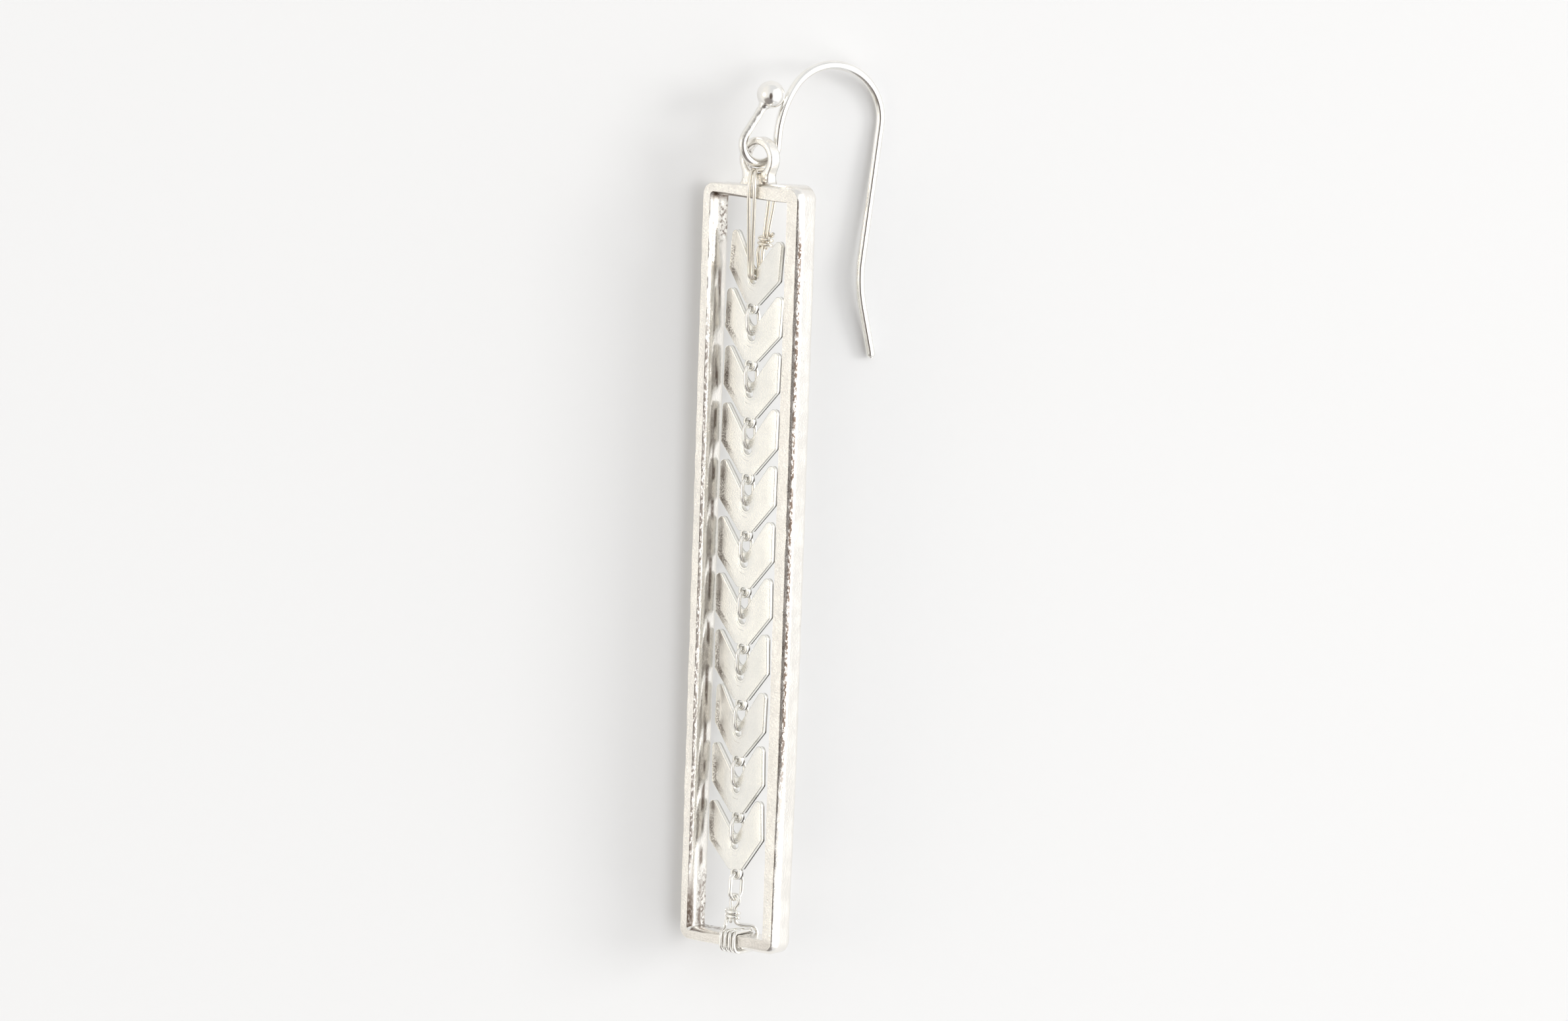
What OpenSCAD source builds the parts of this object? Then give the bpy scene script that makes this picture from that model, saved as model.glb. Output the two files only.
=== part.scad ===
// Bar earring: a long cast bar frame with a bail, an open ear wire with a ball end, and a chain of
// chevron links strung down the middle of the frame between two wires.
// It lies as it would on a table: the frame rests on the lower edge of its left bar and leans on
// the ear wire, whose arch and tail touch the table. Z is up, Y runs along the frame from its foot
// to its bail, and the origin is under the middle of the whole earring's box. Millimetres.

/* [Frame] */
// Width of the front face of each bar
bar_w = 1.2; // [1.0:0.05:1.5]
// Depth of the bars from front to back
bar_depth = 2.25; // [1.9:0.05:2.8]
// Radius on the long edges of the bars
bar_edge_r = 0.25; // [0.1:0.05:0.4]
// Free space between a chevron's side and the bar beside it
side_gap = 0.95; // [0.7:0.05:1.4]
// How far the frame is rolled over its left bar, in degrees
frame_roll = 42; // [30:1:50]

/* [Bail] */
// Radius of the bail's eye
bail_hole_r = 1.2; // [1.1:0.05:1.5]
// Width of the metal round the bail's eye
bail_wall = 0.65; // [0.5:0.05:0.9]
// Depth of the bail from front to back
bail_depth = 1.2; // [1.0:0.05:1.5]
// Metal between the frame's top and the bail's eye
bail_neck = 0.9; // [0.7:0.05:1.2]

/* [Ear wire] */
// Diameter of the ear wire
ear_wire_d = 0.76; // [0.6:0.02:0.85]
// Diameter of the ball on the end of the ear wire
ball_d = 2.35; // [1.8:0.05:2.8]
// Height of the ball above the middle of the lower bend
ball_rise = 4.15; // [3.6:0.05:5]
// Free space between the bail and each side of the lower bend
bend_slack = 0.59; // [0.45:0.01:0.9]
// Length of straight wire above the lower bend
leg_len = 0.5; // [0.3:0.1:1.2]
// Radius of the long bend up beside the ball
leg_bend_r = 8.45; // [7.5:0.05:10]
// Radius of the bend over the crown of the arch
crown_bend_r = 4.15; // [3.8:0.05:5]
// Radius of the bend down the far side of the arch
arch_bend_r = 4.55; // [4:0.05:5.5]
// Length of the straight back of the ear wire
back_len = 11.3; // [8:0.1:15]
// Radius of the bend that turns the tail out
tail_bend_r = 12.2; // [9:0.1:16]
// Length of the straight tail that goes through the ear
tail_len = 4.5; // [3:0.1:7]

/* [Chain] */
// Width of a chevron across its wings
chevron_w = 6.2; // [5.4:0.1:7.5]
// Height of a chevron from its wing tips to its flat foot
chevron_h = 5.85; // [5.5:0.05:6.6]
// Thickness of the chevron plate
chevron_t = 0.5; // [0.4:0.05:0.6]
// Height of the upright side of a wing
wing_side = 3.35; // [2.9:0.05:3.7]
// Angle of the notch's edges above level, in degrees
notch_angle = 53; // [48:1:55]
// Radius of the hole under the notch
hole_r = 0.42; // [0.4:0.01:0.5]
// Metal between the notch and the hole
bridge = 0.44; // [0.3:0.01:0.55]
// Diameter of the wire of a link ring
link_wire_d = 0.36; // [0.28:0.02:0.38]
// Length of a link ring inside its wire
link_inner_len = 1.82; // [1.65:0.01:2.1]
// Width of a link ring inside its wire
link_inner_w = 1.03; // [0.9:0.01:1.2]

/* [Hanger and wrap] */
// Diameter of the soft wire that hangs the chain and ties it down
tie_wire_d = 0.34; // [0.26:0.02:0.36]
// Drop of the hanger from the top bar to the first chevron's hole
hanger_drop = 6.7; // [6:0.1:9]
// Rise of the lower loop above the bottom bar
wrap_rise = 3.25; // [3:0.05:4.5]

/* [Hidden] */
chevron_count = 11;
fine = 48;
wire_sides = 6;

// Small clearances between pieces that bear on each other
seat_gap = 0.04;
wire_gap = 0.06;
// Least space between the sagging chain's side and the bar below it
rest_gap = 0.25;

// Lengths that pieces share are whole thousandths of a millimetre
function snapped(x) = round(x * 1000) / 1000;

// Chevron outline, in the plate's own plane, with the wing tips at height 0
tip_r = 0.45;
notch_r = 0.6;
foot_half = 0.75;
half_w = chevron_w / 2;
tip_centre = [half_w - tip_r, -tip_r];
notch_start = tip_centre + tip_r * [-sin(notch_angle), cos(notch_angle)];
notch_point_y = notch_start[1] - notch_start[0] * tan(notch_angle);
notch_centre_y = notch_point_y + notch_r / cos(notch_angle);
hole_y = notch_centre_y - notch_r - bridge - hole_r;

// Eyelet under the foot, round the ring's wire
eye_room = 0.14;
eye_wall = 0.26;
eye_drop = 0.3;
eye_hole_r = link_wire_d / 2 + eye_room;
eye_r = eye_hole_r + eye_wall;
eye_y = -chevron_h - eye_drop;

// Where a ring's wire bears in the hole and in the eyelet, clear of the plate's edges
link_rise = link_inner_w / 2 - sqrt(pow(link_inner_w / 2, 2) - pow(chevron_t / 2, 2));
hole_seat_y = hole_y + hole_r - link_wire_d / 2 - link_rise - seat_gap;
eye_seat_y = eye_y - eye_hole_r + link_wire_d / 2 + link_rise + seat_gap;
eye_span = hole_seat_y - eye_seat_y;
link_reach = link_inner_len + link_wire_d;
pitch = snapped(eye_span + link_reach);

// Frame sizes that follow from the chain it holds; its own origin is at the middle of its foot
frame_w = chevron_w + 2 * side_gap + 2 * bar_w;
loop_top = bar_w + wrap_rise;
chain_foot = loop_top - tie_wire_d / 2 - link_wire_d / 2 - seat_gap;
frame_len = snapped(chain_foot + chevron_count * pitch + hanger_drop + bar_w);
bail_r = bail_hole_r + bail_wall;
bail_v = frame_len + bail_neck + bail_hole_r;
neck_inset = 0.38;
neck_half = bail_r - neck_inset;
neck_fillet_r = 0.35;

// Lean in the plate's plane and turn about the frame's length of each chevron, in degrees
LEAN = 0;
TURN = 1;
CHEVRONS = [
    [-4.5, 8],
    [-3, 2],
    [-1.5, 3],
    [-1, 2],
    [-0.5, 2],
    [0.5, 2],
    [1, 2],
    [1.5, 5],
    [-2, 9],
    [1.5, 7],
    [2.5, 5]
];
// The slack chain sags most at its middle, and both of its ends are on the frame's middle line
chain_top = frame_len - bar_w;
most_sag = (side_gap - rest_gap) / sin(frame_roll);

// Ear wire in its own plane, from the bail's centre: a to the right, b along the frame
ear_r = ear_wire_d / 2;
strand_room = tie_wire_d + 2 * wire_gap;
bend_r = bail_depth / 2 + ear_r + bend_slack;
bend_b = -bail_hole_r + strand_room + ear_r + bend_r;
leg_heading = 88;
// Each row is a radius and a turn in degrees, or a length and no turn
SIZE = 0;
BEND = 1;
EAR_RUN = [
    [leg_len, 0],
    [leg_bend_r, -31.8],
    [crown_bend_r, -65.6],
    [arch_bend_r, -87],
    [back_len, 0],
    [tail_bend_r, 19.3],
    [tail_len, 0]
];
ball_gap = 0.04;
// A joint in the wire is closed by a ball a hair wider than it, with each step stopped just short
joint_swell = 0.01;
joint_r = ear_r + joint_swell;
joint_gap = 0.05;

// Lift of the frame's middle above the table, with its lower left edge on it
edge_x = frame_w / 2 - bar_edge_r;
edge_n = bar_depth / 2 - bar_edge_r;
frame_lift = edge_x * sin(frame_roll) + edge_n * cos(frame_roll) + bar_edge_r;

// Position and heading after each step of a run of straights and bends
function after_step(at, step) =
    step[BEND] == 0
    ? [at[0] + step[SIZE] * [cos(at[1]), sin(at[1])], at[1]]
    : let (side = sign(step[BEND]),
           centre = at[0] + side * step[SIZE] * [-sin(at[1]), cos(at[1])],
           end = at[1] + step[BEND])
      [centre + side * step[SIZE] * [sin(end), -cos(end)], end];
function run_places(run, start) = [
    for (i = 0, at = start; i <= len(run); at = i < len(run) ? after_step(at, run[i]) : at, i = i + 1) at
];
function right_centre(at, r) = at[0] + r * [sin(at[1]), -cos(at[1])];
leg_start = [[0, bend_b] + bend_r * [sin(leg_heading), -cos(leg_heading)], leg_heading];
ear_places = run_places(EAR_RUN, leg_start);
tail_tip = ear_places[len(EAR_RUN)][0];
arch_reach = right_centre(ear_places[4], arch_bend_r)[0] + arch_bend_r;
ear_reach = max(arch_reach, tail_tip[0]);
ear_tilt = asin((frame_lift - ear_r) / ear_reach);
crown_b = right_centre(ear_places[3], crown_bend_r)[1] + crown_bend_r;

// Ball beside the leg, and the place where its arm leaves the lower bend
leg_centre = right_centre(ear_places[1], leg_bend_r);
ball_off = leg_bend_r + ear_r + ball_gap + ball_d / 2;
ball_a = leg_centre[0] - sqrt(pow(ball_off, 2) - pow(bend_b + ball_rise - leg_centre[1], 2));
ball_far = norm([ball_a, ball_rise]);
arm_angle = atan2(ball_rise, ball_a) + acos(bend_r / ball_far);
arm_len = sqrt(pow(ball_far, 2) - pow(bend_r, 2));
collar_wall = 0.16;
collar_r = ear_r + collar_wall;
collar_len = 0.34;

// Middle of the earring's box, measured from the frame's foot
left_x = -edge_x * cos(frame_roll) - edge_n * sin(frame_roll) - bar_edge_r;
right_x = ear_reach * cos(ear_tilt) + ear_r;
top_y = bail_v + crown_b + ear_r;
wrap_out = tie_wire_d + wire_gap;
middle = [(left_x + right_x) / 2, (top_y - wrap_out) / 2];

// Places along the chain, square to the table and measured from the frame's middle line
function hole_at(i) =
    let (v = chain_foot + (chevron_count - i + 1) * pitch,
         down = (chain_top - v) / (chain_top - chain_foot))
    [0, v, -most_sag * (1 - pow(2 * down - 1, 4))];
function tip_of(i) =
    let (step = hole_at(i) - hole_at(i + 1))
    atan2(step[2], step[1]);
function rolled(p, angle) = [p[0] * cos(angle), p[1], p[0] * sin(angle)];
function tipped(p, angle) = [
    p[0],
    p[1] * cos(angle) - p[2] * sin(angle),
    p[1] * sin(angle) + p[2] * cos(angle)
];
function eye_at(i) =
    let (row = CHEVRONS[i - 1],
         foot = eye_span * [sin(row[LEAN]), -cos(row[LEAN])])
    hole_at(i) + tipped(rolled(foot, frame_roll + row[TURN]), tip_of(i));

// Path smoothed by cutting its corners
function smoothed(p, rounds) =
    rounds == 0 ? p : smoothed(concat(
        [p[0]],
        [for (i = [0:len(p) - 2]) each [p[i] * 0.75 + p[i + 1] * 0.25, p[i] * 0.25 + p[i + 1] * 0.75]],
        [p[len(p) - 1]]
    ), rounds - 1);
function unit(v) = v / norm(v);
function along(p, i) = unit(p[min(i + 1, len(p) - 1)] - p[max(i - 1, 0)]);
function squared(side, t) = unit(side - (side * t) * t);

// Round wire carried along a path, with its section kept from twisting
module bent_wire(path, d) {
    last = len(path) - 1;
    first_side = squared(abs(along(path, 0)[0]) < 0.8 ? [1, 0, 0] : [0, 1, 0], along(path, 0));
    sides = [
        for (i = 0, s = first_side; i <= last; i = i + 1, s = squared(s, along(path, min(i, last)))) s
    ];
    corners = [
        for (i = [0:last]) let (t = along(path, i), s = sides[i], c = cross(t, s))
        for (k = [0:wire_sides - 1]) let (angle = k * 360 / wire_sides)
        path[i] + d / 2 * (s * cos(angle) + c * sin(angle))
    ];
    walls = [
        for (i = [0:last - 1]) for (k = [0:wire_sides - 1])
        let (a = i * wire_sides, b = a + wire_sides, n = (k + 1) % wire_sides)
        each [[a + k, b + k, b + n], [a + k, b + n, a + n]]
    ];
    near_end = [for (k = [0:wire_sides - 1]) k];
    far_end = [for (k = [0:wire_sides - 1]) last * wire_sides + wire_sides - 1 - k];
    polyhedron(corners, concat([near_end], walls, [far_end]), convexity = 8);
}

// From the frame's middle line to the table's origin
module over_table() {
    translate([-middle[0], -middle[1], frame_lift])
        children();
}

// Frame's own axes to the table: rolled over the left bar and lifted
module on_table() {
    over_table()
        rotate([0, -frame_roll, 0])
            children();
}

// Rectangle with round corners, centred
module round_rect(w, h, r) {
    square([w - 2 * r, h], center = true);
    square([w, h - 2 * r], center = true);
    for (x = [-1, 1])
        for (y = [-1, 1])
            translate([x * (w / 2 - r), y * (h / 2 - r)])
                circle(r, $fn = fine);
}

// Straight bar of the frame along Y, from a corner to the next
module bar(length) {
    rotate([-90, 0, 0])
        linear_extrude(length)
            round_rect(bar_w, bar_depth, bar_edge_r);
}

// Quarter turn at a corner of the frame, round the window's corner
module frame_corner() {
    rotate_extrude(angle = 90, $fn = fine)
        intersection() {
            union() {
                translate([bar_w / 2, 0])
                    round_rect(bar_w, bar_depth, bar_edge_r);
                translate([0, -bar_depth / 2])
                    square([bar_w / 2, bar_depth]);
            }
            translate([0, -bar_depth])
                square([bar_w, 2 * bar_depth]);
        }
}

// Eye on top of the frame, cast with it
module bail() {
    difference() {
        union() {
            cylinder(h = bail_depth, r = bail_r, center = true, $fn = fine);
            translate([-neck_half, -bail_neck - bail_hole_r - bar_w / 2, -bail_depth / 2])
                cube([2 * neck_half, bail_neck + bail_hole_r + bar_w / 2, bail_depth]);
            for (x = [-1, 1])
                translate([x * (neck_half + neck_fillet_r / 2), -bail_neck - bail_hole_r, 0])
                    cube([neck_fillet_r, 2 * neck_fillet_r, bail_depth], center = true);
        }
        cylinder(h = 2 * bail_depth, r = bail_hole_r, center = true, $fn = fine);
        for (x = [-1, 1])
            translate([x * (neck_half + neck_fillet_r), -bail_neck - bail_hole_r + neck_fillet_r, 0])
                cylinder(h = 2 * bail_depth, r = neck_fillet_r, center = true, $fn = fine);
    }
}

module frame() {
    side_x = frame_w / 2 - bar_w / 2;
    color("silver")
        on_table() {
            for (x = [-1, 1])
                translate([x * side_x, bar_w, 0])
                    bar(frame_len - 2 * bar_w);
            for (y = [bar_w / 2, frame_len - bar_w / 2])
                translate([-frame_w / 2 + bar_w, y, 0])
                    rotate([0, 0, -90])
                        bar(frame_w - 2 * bar_w);
            for (turn = [0:3])
                translate([
                    (turn == 0 || turn == 3 ? 1 : -1) * (frame_w / 2 - bar_w),
                    turn < 2 ? frame_len - bar_w : bar_w,
                    0
                ])
                    rotate([0, 0, 90 * turn])
                        frame_corner();
            translate([0, bail_v, 0])
                bail();
        }
}

// Bend in the XY plane round the origin, between two angles and just short of both
module wire_bend(r, from, to) {
    short = joint_gap / r * 180 / PI;
    rotate([0, 0, from + short])
        rotate_extrude(angle = to - from - 2 * short, $fn = fine)
            translate([r, 0])
                circle(ear_r, $fn = fine);
}

// One step of the ear wire, placed by its start and heading; the last one keeps its whole length
module ear_step(at, step, last) {
    translate(at[0]) {
        rotate([0, 0, at[1]])
            if (step[BEND] == 0)
                translate([joint_gap, 0, 0])
                    rotate([0, 90, 0])
                        cylinder(h = step[SIZE] - (last ? 1 : 2) * joint_gap, r = ear_r, $fn = fine);
            else
                translate([0, sign(step[BEND]) * step[SIZE], 0])
                    if (step[BEND] > 0)
                        wire_bend(step[SIZE], -90, step[BEND] - 90);
                    else
                        wire_bend(step[SIZE], 90 + step[BEND], 90);
        sphere(r = joint_r, $fn = fine);
    }
}

// Straight arm along X from the lower bend to the ball, with its collar
module ball_arm() {
    rotate([0, 90, 0]) {
        sphere(r = joint_r, $fn = fine);
        translate([0, 0, joint_gap])
            cylinder(h = arm_len - joint_gap, r = ear_r, $fn = fine);
        translate([0, 0, arm_len - ball_d / 2 - collar_len / 2])
            cylinder(h = collar_len, r = collar_r, $fn = fine);
        translate([0, 0, arm_len])
            sphere(r = ball_d / 2, $fn = fine);
    }
}

// Open ear wire with its ball, one piece of polished wire
module ear_wire() {
    color("gainsboro")
        over_table()
            translate([0, bail_v, 0])
                rotate([0, ear_tilt, 0]) {
                    for (i = [0:len(EAR_RUN) - 1])
                        ear_step(ear_places[i], EAR_RUN[i], i == len(EAR_RUN) - 1);
                    translate([0, bend_b, 0]) {
                        wire_bend(bend_r, arm_angle, 270 + leg_heading);
                        rotate([0, 0, arm_angle - 90])
                            translate([0, bend_r, 0])
                                ball_arm();
                    }
                }
}

// Points of an arc, in equal steps
function arc_points(centre, r, from, to, steps) = [
    for (k = [0:steps]) let (angle = from + (to - from) * k / steps) centre + r * [cos(angle), sin(angle)]
];

// Chevron plate with a hole under its notch and an eyelet under its foot
module chevron_plate() {
    right_half = concat(
        arc_points([0, notch_centre_y], notch_r, 270, 270 + notch_angle, 5),
        arc_points(tip_centre, tip_r, 90 + notch_angle, 0, 8),
        [[half_w, -wing_side], [foot_half, -chevron_h]]
    );
    left_half = [for (p = right_half) [-p[0], p[1]]];
    linear_extrude(chevron_t, center = true)
        difference() {
            union() {
                polygon(concat(left_half, [for (i = [len(right_half) - 1:-1:1]) right_half[i]]));
                translate([0, eye_y])
                    circle(eye_r, $fn = fine);
            }
            translate([0, hole_y])
                circle(hole_r, $fn = fine);
            translate([0, eye_y])
                circle(eye_hole_r, $fn = fine);
        }
}

module chevron(i) {
    row = CHEVRONS[i - 1];
    color("wheat")
        over_table()
            translate(hole_at(i))
                rotate([tip_of(i), 0, 0])
                    rotate([0, -frame_roll - row[TURN], 0])
                        rotate([0, 0, row[LEAN]])
                            translate([0, -hole_seat_y, 0])
                                chevron_plate();
}

// Oval ring in the plane of Y and Z, hung from the origin and reaching down by its length
module oval_ring(reach) {
    round_r = (link_inner_w + link_wire_d) / 2;
    straight = snapped(reach - 2 * round_r);
    for (end = [0, 1])
        translate([0, -round_r - end * straight, 0])
            rotate([0, -90, 0])
                rotate([0, 0, 180 * end])
                    rotate_extrude(angle = 180, $fn = fine)
                        translate([round_r, 0])
                            circle(link_wire_d / 2, $fn = fine);
    for (z = [-1, 1])
        translate([0, -round_r, z * round_r])
            rotate([90, 0, 0])
                cylinder(h = straight, r = link_wire_d / 2, $fn = fine);
}

// Ring from one chevron's eyelet to the next chevron's hole, or to the lower loop
module link_ring(i) {
    top = eye_at(i);
    span = top - hole_at(i + 1);
    turn = (CHEVRONS[i - 1][TURN] + CHEVRONS[min(i, chevron_count - 1)][TURN]) / 2;
    color("whitesmoke")
        over_table()
            translate(top)
                rotate([asin(span[2] / norm(span)), 0, -atan2(span[0], span[1])])
                    rotate([0, -frame_roll - turn, 0])
                        oval_ring(norm(span));
}

// Doubled wire over the top bar, through the bail's eye and the first chevron's hole
module hanger_wire() {
    r = tie_wire_d / 2;
    out = bar_depth / 2 + r + wire_gap;
    off = chevron_t / 2 + r + 2 * wire_gap;
    crown = frame_len + bail_neck + r + wire_gap;
    low = hole_at(1)[1] - hole_seat_y + hole_y + 0.02;
    sag = hole_at(1)[2] * [sin(frame_roll), 0, cos(frame_roll)];
    knee = 5 * r;
    pair_half = r + 0.03;
    side_u = [0.72, 0.1];
    eye_u = [pair_half, -pair_half];
    hole_u = [r + 0.01, -r - 0.01];
    skew = off * tan(CHEVRONS[0][TURN]);
    twist = [0.14, chain_top - 0.55 * hanger_drop, -0.5 * (out + off)] + 0.5 * sag;
    wrap_u = pair_half + 2 * r + 0.06;
    wrap_n = 2 * r + 0.11;
    wrap_turns = 2.5;
    wrap_steps = 10;
    wrap_len = wrap_turns * (tie_wire_d + 0.07);
    loops = [
        for (k = [0, 1]) [
            [side_u[k] - 0.06, chain_top - 0.2, -out - 0.02],
            [side_u[k] - 0.06, frame_len + 0.3, -out - 0.05],
            [eye_u[k], crown + 0.08, -bail_depth / 2 - r],
            [eye_u[k], crown, 0],
            [eye_u[k], crown + 0.08, bail_depth / 2 + r],
            [side_u[k], frame_len + 0.3, out + 0.05],
            [side_u[k], chain_top - 0.2, out + 0.02],
            sag + [hole_u[k] - skew, low + 2.2 * knee, off + 0.12],
            sag + [hole_u[k] - skew, low + knee, off],
            sag + [hole_u[k] - skew, low, off],
            sag + [hole_u[k] + skew, low, -off],
            sag + [hole_u[k] + skew, low + knee, -off]
        ]
    ];
    pair = [
        for (side = [1, -1]) [
            twist + [side * pair_half, -0.2 - wrap_len / 2, 0.04],
            twist + [side * pair_half, 0.3 + wrap_len / 2, -0.12]
        ]
    ];
    wraps = [
        for (k = [0:wrap_turns * wrap_steps])
        let (angle = 180 + k * 360 / wrap_steps, share = k / (wrap_turns * wrap_steps))
        twist + [
            wrap_u * cos(angle),
            (share - 0.5) * wrap_len,
            0.02 - 0.12 * share + wrap_n * sin(angle)
        ]
    ];
    lead = twist + [-wrap_u - 0.02, -wrap_len / 2 - 0.4, 0.2];
    end = twist + [wrap_u + 0.3, wrap_len / 2 + 0.25, 0];
    strands = smoothed(concat(pair[0], loops[0], pair[1], loops[1], [lead]), 2);
    color("ghostwhite")
        on_table()
            bent_wire(concat(strands, wraps, [end]), tie_wire_d);
}

// Wire round the bottom bar, up through the last ring and down round its own stem
module wrap_wire() {
    r = tie_wire_d / 2;
    step = tie_wire_d + 0.14;
    loop_half = 0.45;
    stem_u = -0.2;
    stem_half = r + 0.03;
    half_n = bar_depth / 2 + r + wire_gap;
    half_v = bar_w / 2 + r + wire_gap;
    corner_r = bar_edge_r + r + wire_gap;
    over_bar = bar_w / 2 + half_v;
    stem_foot = over_bar + 2 * r + 0.16;
    stem_top = loop_top - 1.12;
    bar_turns = 4;
    corners = 4 * bar_turns - 1;
    corner_steps = 3;
    end_u = stem_u - 0.22;
    start_u = end_u + step * corners / 4;
    stem_turns = 2.25;
    stem_steps = 10;
    stem_a = stem_half + 2 * r + 0.05;
    stem_b = 2 * r + 0.1;
    stem_from = stem_foot + 0.38;
    stem_rise = (tie_wire_d + 0.05) * stem_turns;
    strand = [
        [stem_u - stem_half, stem_foot, 0],
        [stem_u - stem_half, stem_top, 0],
        [-loop_half, loop_top - 0.7, 0],
        [-loop_half, loop_top, 0],
        [loop_half, loop_top, 0],
        [loop_half, loop_top - 0.7, 0],
        [stem_u + stem_half, stem_top, 0],
        [stem_u + stem_half, stem_foot + 0.25, 0],
        [stem_u + 0.45, stem_foot - 0.1, -0.35],
        [start_u - 0.1, over_bar + 2 * r + 0.05, 0.25 - half_n],
        [start_u + 0.12, bar_w, -half_n - 0.04],
        [start_u, bar_w / 2, -half_n]
    ];
    bar_wraps = [
        for (corner = [0:corners - 1])
        for (k = [0:corner_steps])
        let (
            quarter = corner % 4,
            angle = 90 * quarter + 90 * k / corner_steps,
            side_n = quarter == 0 || quarter == 3 ? -1 : 1,
            side_v = quarter < 2 ? -1 : 1
        )
        [
            start_u + (end_u - start_u) * (corner + k / corner_steps) / corners,
            bar_w / 2 + side_v * (half_v - corner_r) - corner_r * sin(angle),
            side_n * (half_n - corner_r) - corner_r * cos(angle)
        ]
    ];
    stem_wraps = [
        for (k = [0:stem_turns * stem_steps])
        let (angle = 170 + k * 360 / stem_steps, share = k / (stem_turns * stem_steps))
        [stem_u + stem_a * cos(angle), stem_from + share * stem_rise, stem_b * sin(angle)]
    ];
    lead = [
        [end_u - 0.08, over_bar + 0.05, half_n / 2],
        [stem_u - stem_a + 0.04, over_bar + 0.2, 0.32]
    ];
    color("ghostwhite")
        on_table()
            bent_wire(concat(smoothed(strand, 2), bar_wraps, lead, stem_wraps), tie_wire_d);
}

frame();
ear_wire();
hanger_wire();
wrap_wire();
for (i = [1:chevron_count]) {
    chevron(i);
    link_ring(i);
}
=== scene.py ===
"""Bar earring: a cast bar frame with a bail, an open ear wire with a ball end, and a chain of chevron links
strung down the middle of the frame between a hanger wire and a wrap wire. Metres, in the part's own frame."""

import math

import bpy
import numpy as np
from bpy.props import FloatProperty, FloatVectorProperty, IntProperty, PointerProperty
from mathutils import Matrix, Vector


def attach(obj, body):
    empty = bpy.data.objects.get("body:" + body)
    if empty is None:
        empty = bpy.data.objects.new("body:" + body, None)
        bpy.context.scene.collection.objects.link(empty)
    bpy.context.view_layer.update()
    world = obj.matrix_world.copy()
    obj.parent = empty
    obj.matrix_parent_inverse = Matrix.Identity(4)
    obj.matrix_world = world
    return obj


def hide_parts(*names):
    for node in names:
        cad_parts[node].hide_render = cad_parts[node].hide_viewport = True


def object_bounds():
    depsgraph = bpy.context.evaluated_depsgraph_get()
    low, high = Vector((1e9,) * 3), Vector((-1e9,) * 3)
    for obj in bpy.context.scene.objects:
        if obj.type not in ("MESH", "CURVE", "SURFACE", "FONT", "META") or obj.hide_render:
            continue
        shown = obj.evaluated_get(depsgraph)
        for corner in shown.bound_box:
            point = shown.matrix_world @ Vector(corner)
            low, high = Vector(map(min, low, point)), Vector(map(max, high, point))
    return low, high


bl_info = {
    "name": "Bar Earring",
    "version": (1, 0, 0),
    "blender": (4, 5, 0),
    "location": "3D View > Sidebar > Bar Earring",
    "description": "Builds a bar earring with a chevron chain inside an open frame, with its finishes and stage",
    "category": "Add Mesh",
}

MM = 0.001
BODY = "root"

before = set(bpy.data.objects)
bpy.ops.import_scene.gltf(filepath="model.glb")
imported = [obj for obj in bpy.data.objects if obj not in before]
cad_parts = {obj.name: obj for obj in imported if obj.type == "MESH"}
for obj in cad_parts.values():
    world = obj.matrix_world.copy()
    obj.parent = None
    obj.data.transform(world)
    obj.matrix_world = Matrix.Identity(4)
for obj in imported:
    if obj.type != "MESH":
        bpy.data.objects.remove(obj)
cad_box = [list(corner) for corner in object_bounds()]


# Sizes and colours that a user would change


def length(name, description, millimetres):
    """A length property whose default is given in millimetres."""
    return FloatProperty(name=name, description=description, default=millimetres * MM, unit="LENGTH", precision=5)


def angle(name, description, degrees):
    """An angle property whose default is given in degrees."""
    return FloatProperty(
        name=name, description=description, default=math.radians(degrees), subtype="ANGLE", unit="ROTATION"
    )


def share(name, description, value):
    """A property from 0 to 1."""
    return FloatProperty(name=name, description=description, default=value, min=0, max=1, subtype="FACTOR")


def colour(name, description, rgb):
    """A linear colour property."""
    return FloatVectorProperty(name=name, description=description, default=rgb, size=3, subtype="COLOR", min=0, max=1)


class FrameSizes(bpy.types.PropertyGroup):
    bar_w: length("Bar width", "Width of the front face of each bar", 1.2)
    bar_depth: length("Bar depth", "Depth of the bars from front to back", 2.25)
    edge_r: length("Back edge radius", "Radius on the back edges of the bars", 0.25)
    crisp_r: length("Crisp edge", "Radius of the crisp front edges", 0.06)
    soft_r: length("Soft wall", "Radius in which the worn walls run down from the crisp edges", 1.3)
    left_trim: length("Left trim", "Width that the left bar gives up on its outer side", 0.11)
    right_in: length("Right bar inward", "How far the right bar stands in over its solid", 0.10)
    right_out: length("Right bar outward", "How far the right bar stands out over its solid", 0.18)
    foot_r: length("Worn foot", "Radius of the right bar's front edge where it has worn soft, near its foot", 0.32)
    window_r: length("Window corner", "Radius of the window's corners", 0.12)
    corner_r: length("Frame corner", "Radius of the frame's outer corners", 1.1)
    side_gap: length("Side gap", "Free space between a chevron's side and the bar", 0.95)
    roll: angle("Roll", "How far the frame is rolled over its left bar", 42)
    bail_hole_r: length("Eye radius", "Radius of the bail's eye", 1.2)
    bail_wall: length("Eye wall", "Width of the metal round the bail's eye", 0.65)
    bail_depth: length("Bail depth", "Depth of the bail from front to back", 1.2)
    bail_neck: length("Bail neck", "Metal between the frame's top and the eye", 0.9)
    waviness: length("Waviness", "How far the cast faces swell and sink", 0.018)


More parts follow.
